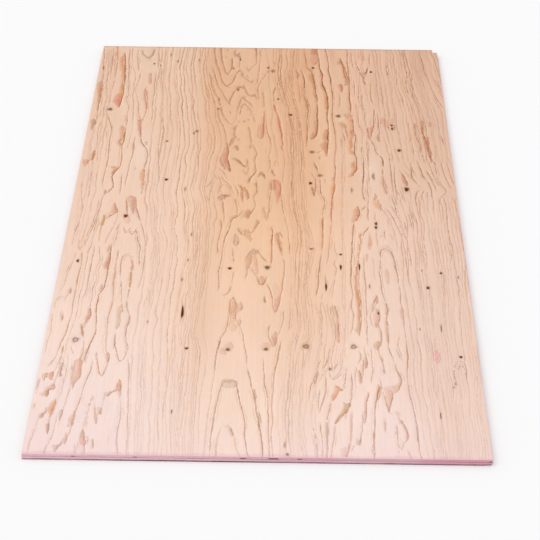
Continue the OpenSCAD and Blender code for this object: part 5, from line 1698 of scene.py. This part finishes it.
# ---- edges: plies in turn show end grain and side grain ----
def edge_material(name, along_x, stain):
    g = Nodes(name)
    level = g.math("DIVIDE", g.z, PLY / 1000.0)
    wave_s = g.stretch(0.020, 0.020, 0.004) if along_x else g.stretch(0.020, 0.020, 0.004, (3, 1, 0))
    sway = g.noise(wave_s, 2.0, 0.5)
    level = g.math("ADD", level, g.span(sway, 0.25, 0.75, -0.07, 0.07, False))
    ply = g.math("FLOOR", level)
    odd = g.math("MODULO", ply, 2.0)
    crossband = odd if along_x else g.math("SUBTRACT", 1.0, odd)      # 1 where side grain shows
    part = g.math("FRACT", level)
    glue = g.span(g.math("ABSOLUTE", g.math("SUBTRACT", part, 0.5)), 0.44, 0.50)
    outer = g.math("MULTIPLY", g.math("GREATER_THAN", level, 0.25), g.math("LESS_THAN", level, 4.75))
    glue = g.math("MULTIPLY", glue, outer)
    # the second and fourth joints are the ones that show
    line_2 = g.span(g.math("ABSOLUTE", g.math("SUBTRACT", level, 3.0)), 0.26, 0.10)
    line_4 = g.span(g.math("ABSOLUTE", g.math("SUBTRACT", level, 1.0)), 0.26, 0.10)
    patchy = g.noise(g.stretch(0.11, 0.11, 0.05, (5, 9, 4)), 2.0, 0.6)
    strong = g.math("ADD", g.math("MULTIPLY", line_2, g.span(patchy, 0.35, 0.62, 0.25, 0.75, False)),
                    g.math("MULTIPLY", line_4, g.span(patchy, 0.62, 0.38, 0.30, 0.80, False)), clamp=True)
    # end grain: rings cut through, with fine pores
    e1 = g.noise(g.stretch(0.011, 0.011, 0.0035, (2, 5, 1)), 2.0, 0.5)
    ringf = g.math("FRACT", g.math("ADD", g.math("MULTIPLY", e1, 5.0), g.math("MULTIPLY", part, 1.4)))
    ring = g.math("MULTIPLY", g.span(ringf, 0.55, 0.95), g.span(ringf, 1.0, 0.97))
    pore = g.noise(g.stretch(0.0007, 0.0007, 0.0007), 2.0, 0.6)
    end = g.mix(g.math("MULTIPLY", ring, 0.55), lin(206, 166, 134), lin(146, 98, 68))
    end = g.scaled(end, g.span(pore, 0.3, 0.7, 0.86, 1.08, False))
    # side grain: long streaks along the edge
    streak = g.noise(g.stretch(0.09 if along_x else 1.0, 1.0 if along_x else 0.09, 0.0006, (6, 2, 3)), 3.0, 0.6)
    side = g.mix(g.span(streak, 0.35, 0.7), lin(238, 208, 178), lin(204, 158, 120))
    fuzz = g.noise(g.stretch(0.004, 0.004, 0.0004, (1, 8, 2)), 2.0, 0.6)
    side = g.scaled(side, g.span(fuzz, 0.3, 0.7, 0.93, 1.05, False))
    col = g.mix(crossband, end, side)
    wn = g.t.nodes.new("ShaderNodeTexWhiteNoise")
    wn.noise_dimensions = "1D"
    g.put(g.math("ADD", ply, 0.5), wn.inputs["W"])
    col = g.scaled(col, g.span(wn.outputs["Value"], 0.0, 1.0, 0.93, 1.06, False))
    col = g.mix(g.math("MULTIPLY", glue, 0.62), col, lin(112, 72, 56))
    if stain > 0:
        wash = g.noise(g.stretch(0.060, 0.060, 0.006, (7, 3, 5)), 3.0, 0.6)
        amount = g.span(wash, 0.25, 0.75, stain * 0.70, stain, False)
        wash_c = g.mix(g.span(g.x, -0.45, 0.62), lin(232, 192, 210), lin(212, 150, 178))
        grey = g.math("MULTIPLY", g.span(g.x, 0.16, 0.26), g.span(g.x, 0.47, 0.39))
        wash_c = g.mix(g.math("MULTIPLY", grey, 0.55), wash_c, lin(220, 190, 202))
        col = g.mix(amount, col, wash_c)
        col = g.mix(strong, col, lin(132, 74, 104))
        # painted shadow: the lowest ply darkened where the edge meets the floor
        foot = g.span(g.math("ADD", level, g.span(wash, 0.3, 0.7, -0.25, 0.25, False)), 1.25, 0.25, 0.0, 0.80)
        col = g.mix(foot, col, lin(92, 66, 86))
        # painted shadow: the same dark line at the foot, deeper over the left and middle part of each end
        deep = g.math("MULTIPLY", g.span(g.x, -0.46, -0.32), g.span(g.x, 0.12, -0.08))
        deep = g.math("MULTIPLY", deep, g.span(level, 0.95, 0.45, 0.0, 0.85))
        col = g.mix(deep, col, lin(58, 42, 50))
    rough = g.span(pore, 0.3, 0.7, 0.68, 0.85, False)
    relief = g.math("ADD", g.math("MULTIPLY", pore, 0.6), g.math("MULTIPLY", streak, 0.5))
    relief = g.math("SUBTRACT", relief, g.math("MULTIPLY", glue, 0.8))
    return g.finish(col, rough, g.bump(relief, 0.6, 0.0004))


end_material = edge_material("fir_end", True, 0.86)
side_material = edge_material("fir_side", False, 0.60)

for m in (face_material, back_material, end_material, side_material):
    mesh.materials.append(m)
mesh.polygons.foreach_set("material_index", np.array(face_mat, np.int32))

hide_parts("plywood_sheet")
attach(sheet, "root")

# ---------------------------------------------------------------------------
# floor, light, camera
# ---------------------------------------------------------------------------
floor_mesh = bpy.data.meshes.new("floor")
R = 30.0
floor_mesh.from_pydata([(-R, -R, -0.0006), (R, -R, -0.0006), (R, R, -0.0006), (-R, R, -0.0006)], [], [(0, 1, 2, 3)])
floor = bpy.data.objects.new("floor", floor_mesh)
bpy.context.scene.collection.objects.link(floor)
fm = bpy.data.materials.new("floor_pale")
fm.use_nodes = True
fb = fm.node_tree.nodes["Principled BSDF"]
fb.inputs["Base Color"].default_value = (0.96, 0.96, 0.96, 1)
fb.inputs["Roughness"].default_value = 0.9
fb.inputs["Specular IOR Level"].default_value = 0.1
floor_mesh.materials.append(fm)

world = bpy.data.worlds.new("studio") if bpy.context.scene.world is None else bpy.context.scene.world
bpy.context.scene.world = world
world.use_nodes = True
bg = world.node_tree.nodes["Background"]
bg.inputs["Color"].default_value = (1.0, 1.0, 1.0, 1)
bg.inputs["Strength"].default_value = 0.74

# one broad, soft light from above the left shoulder of the camera
sun = bpy.data.lights.new("softbox", "SUN")
sun.energy = 0.96
sun.angle = math.radians(70)
key = bpy.data.objects.new("softbox", sun)
key.rotation_euler = Vector((0.35, 0.45, -1.0)).to_track_quat("-Z", "Y").to_euler()
bpy.context.scene.collection.objects.link(key)

cam_data = bpy.data.cameras.new("camera")
cam_data.sensor_width = 36.0
cam_data.lens = 127.86
cam_data.clip_end = 100.0
cam = bpy.data.objects.new("camera", cam_data)
yaw, pitch, roll = math.radians(0.5586), math.radians(57.878), math.radians(0.4716)
turn = Matrix.Rotation(yaw, 4, "Z") @ Matrix.Rotation(pitch, 4, "X") @ Matrix.Rotation(roll, 4, "Z")
cam.matrix_world = Matrix.Translation((0.0680, -5.1595, 3.0634)) @ turn
bpy.context.scene.collection.objects.link(cam)
bpy.context.scene.camera = cam
bpy.context.scene.view_settings.view_transform = "Standard"
bpy.context.scene.view_settings.look = "None"

lo, hi = CAD_BOX
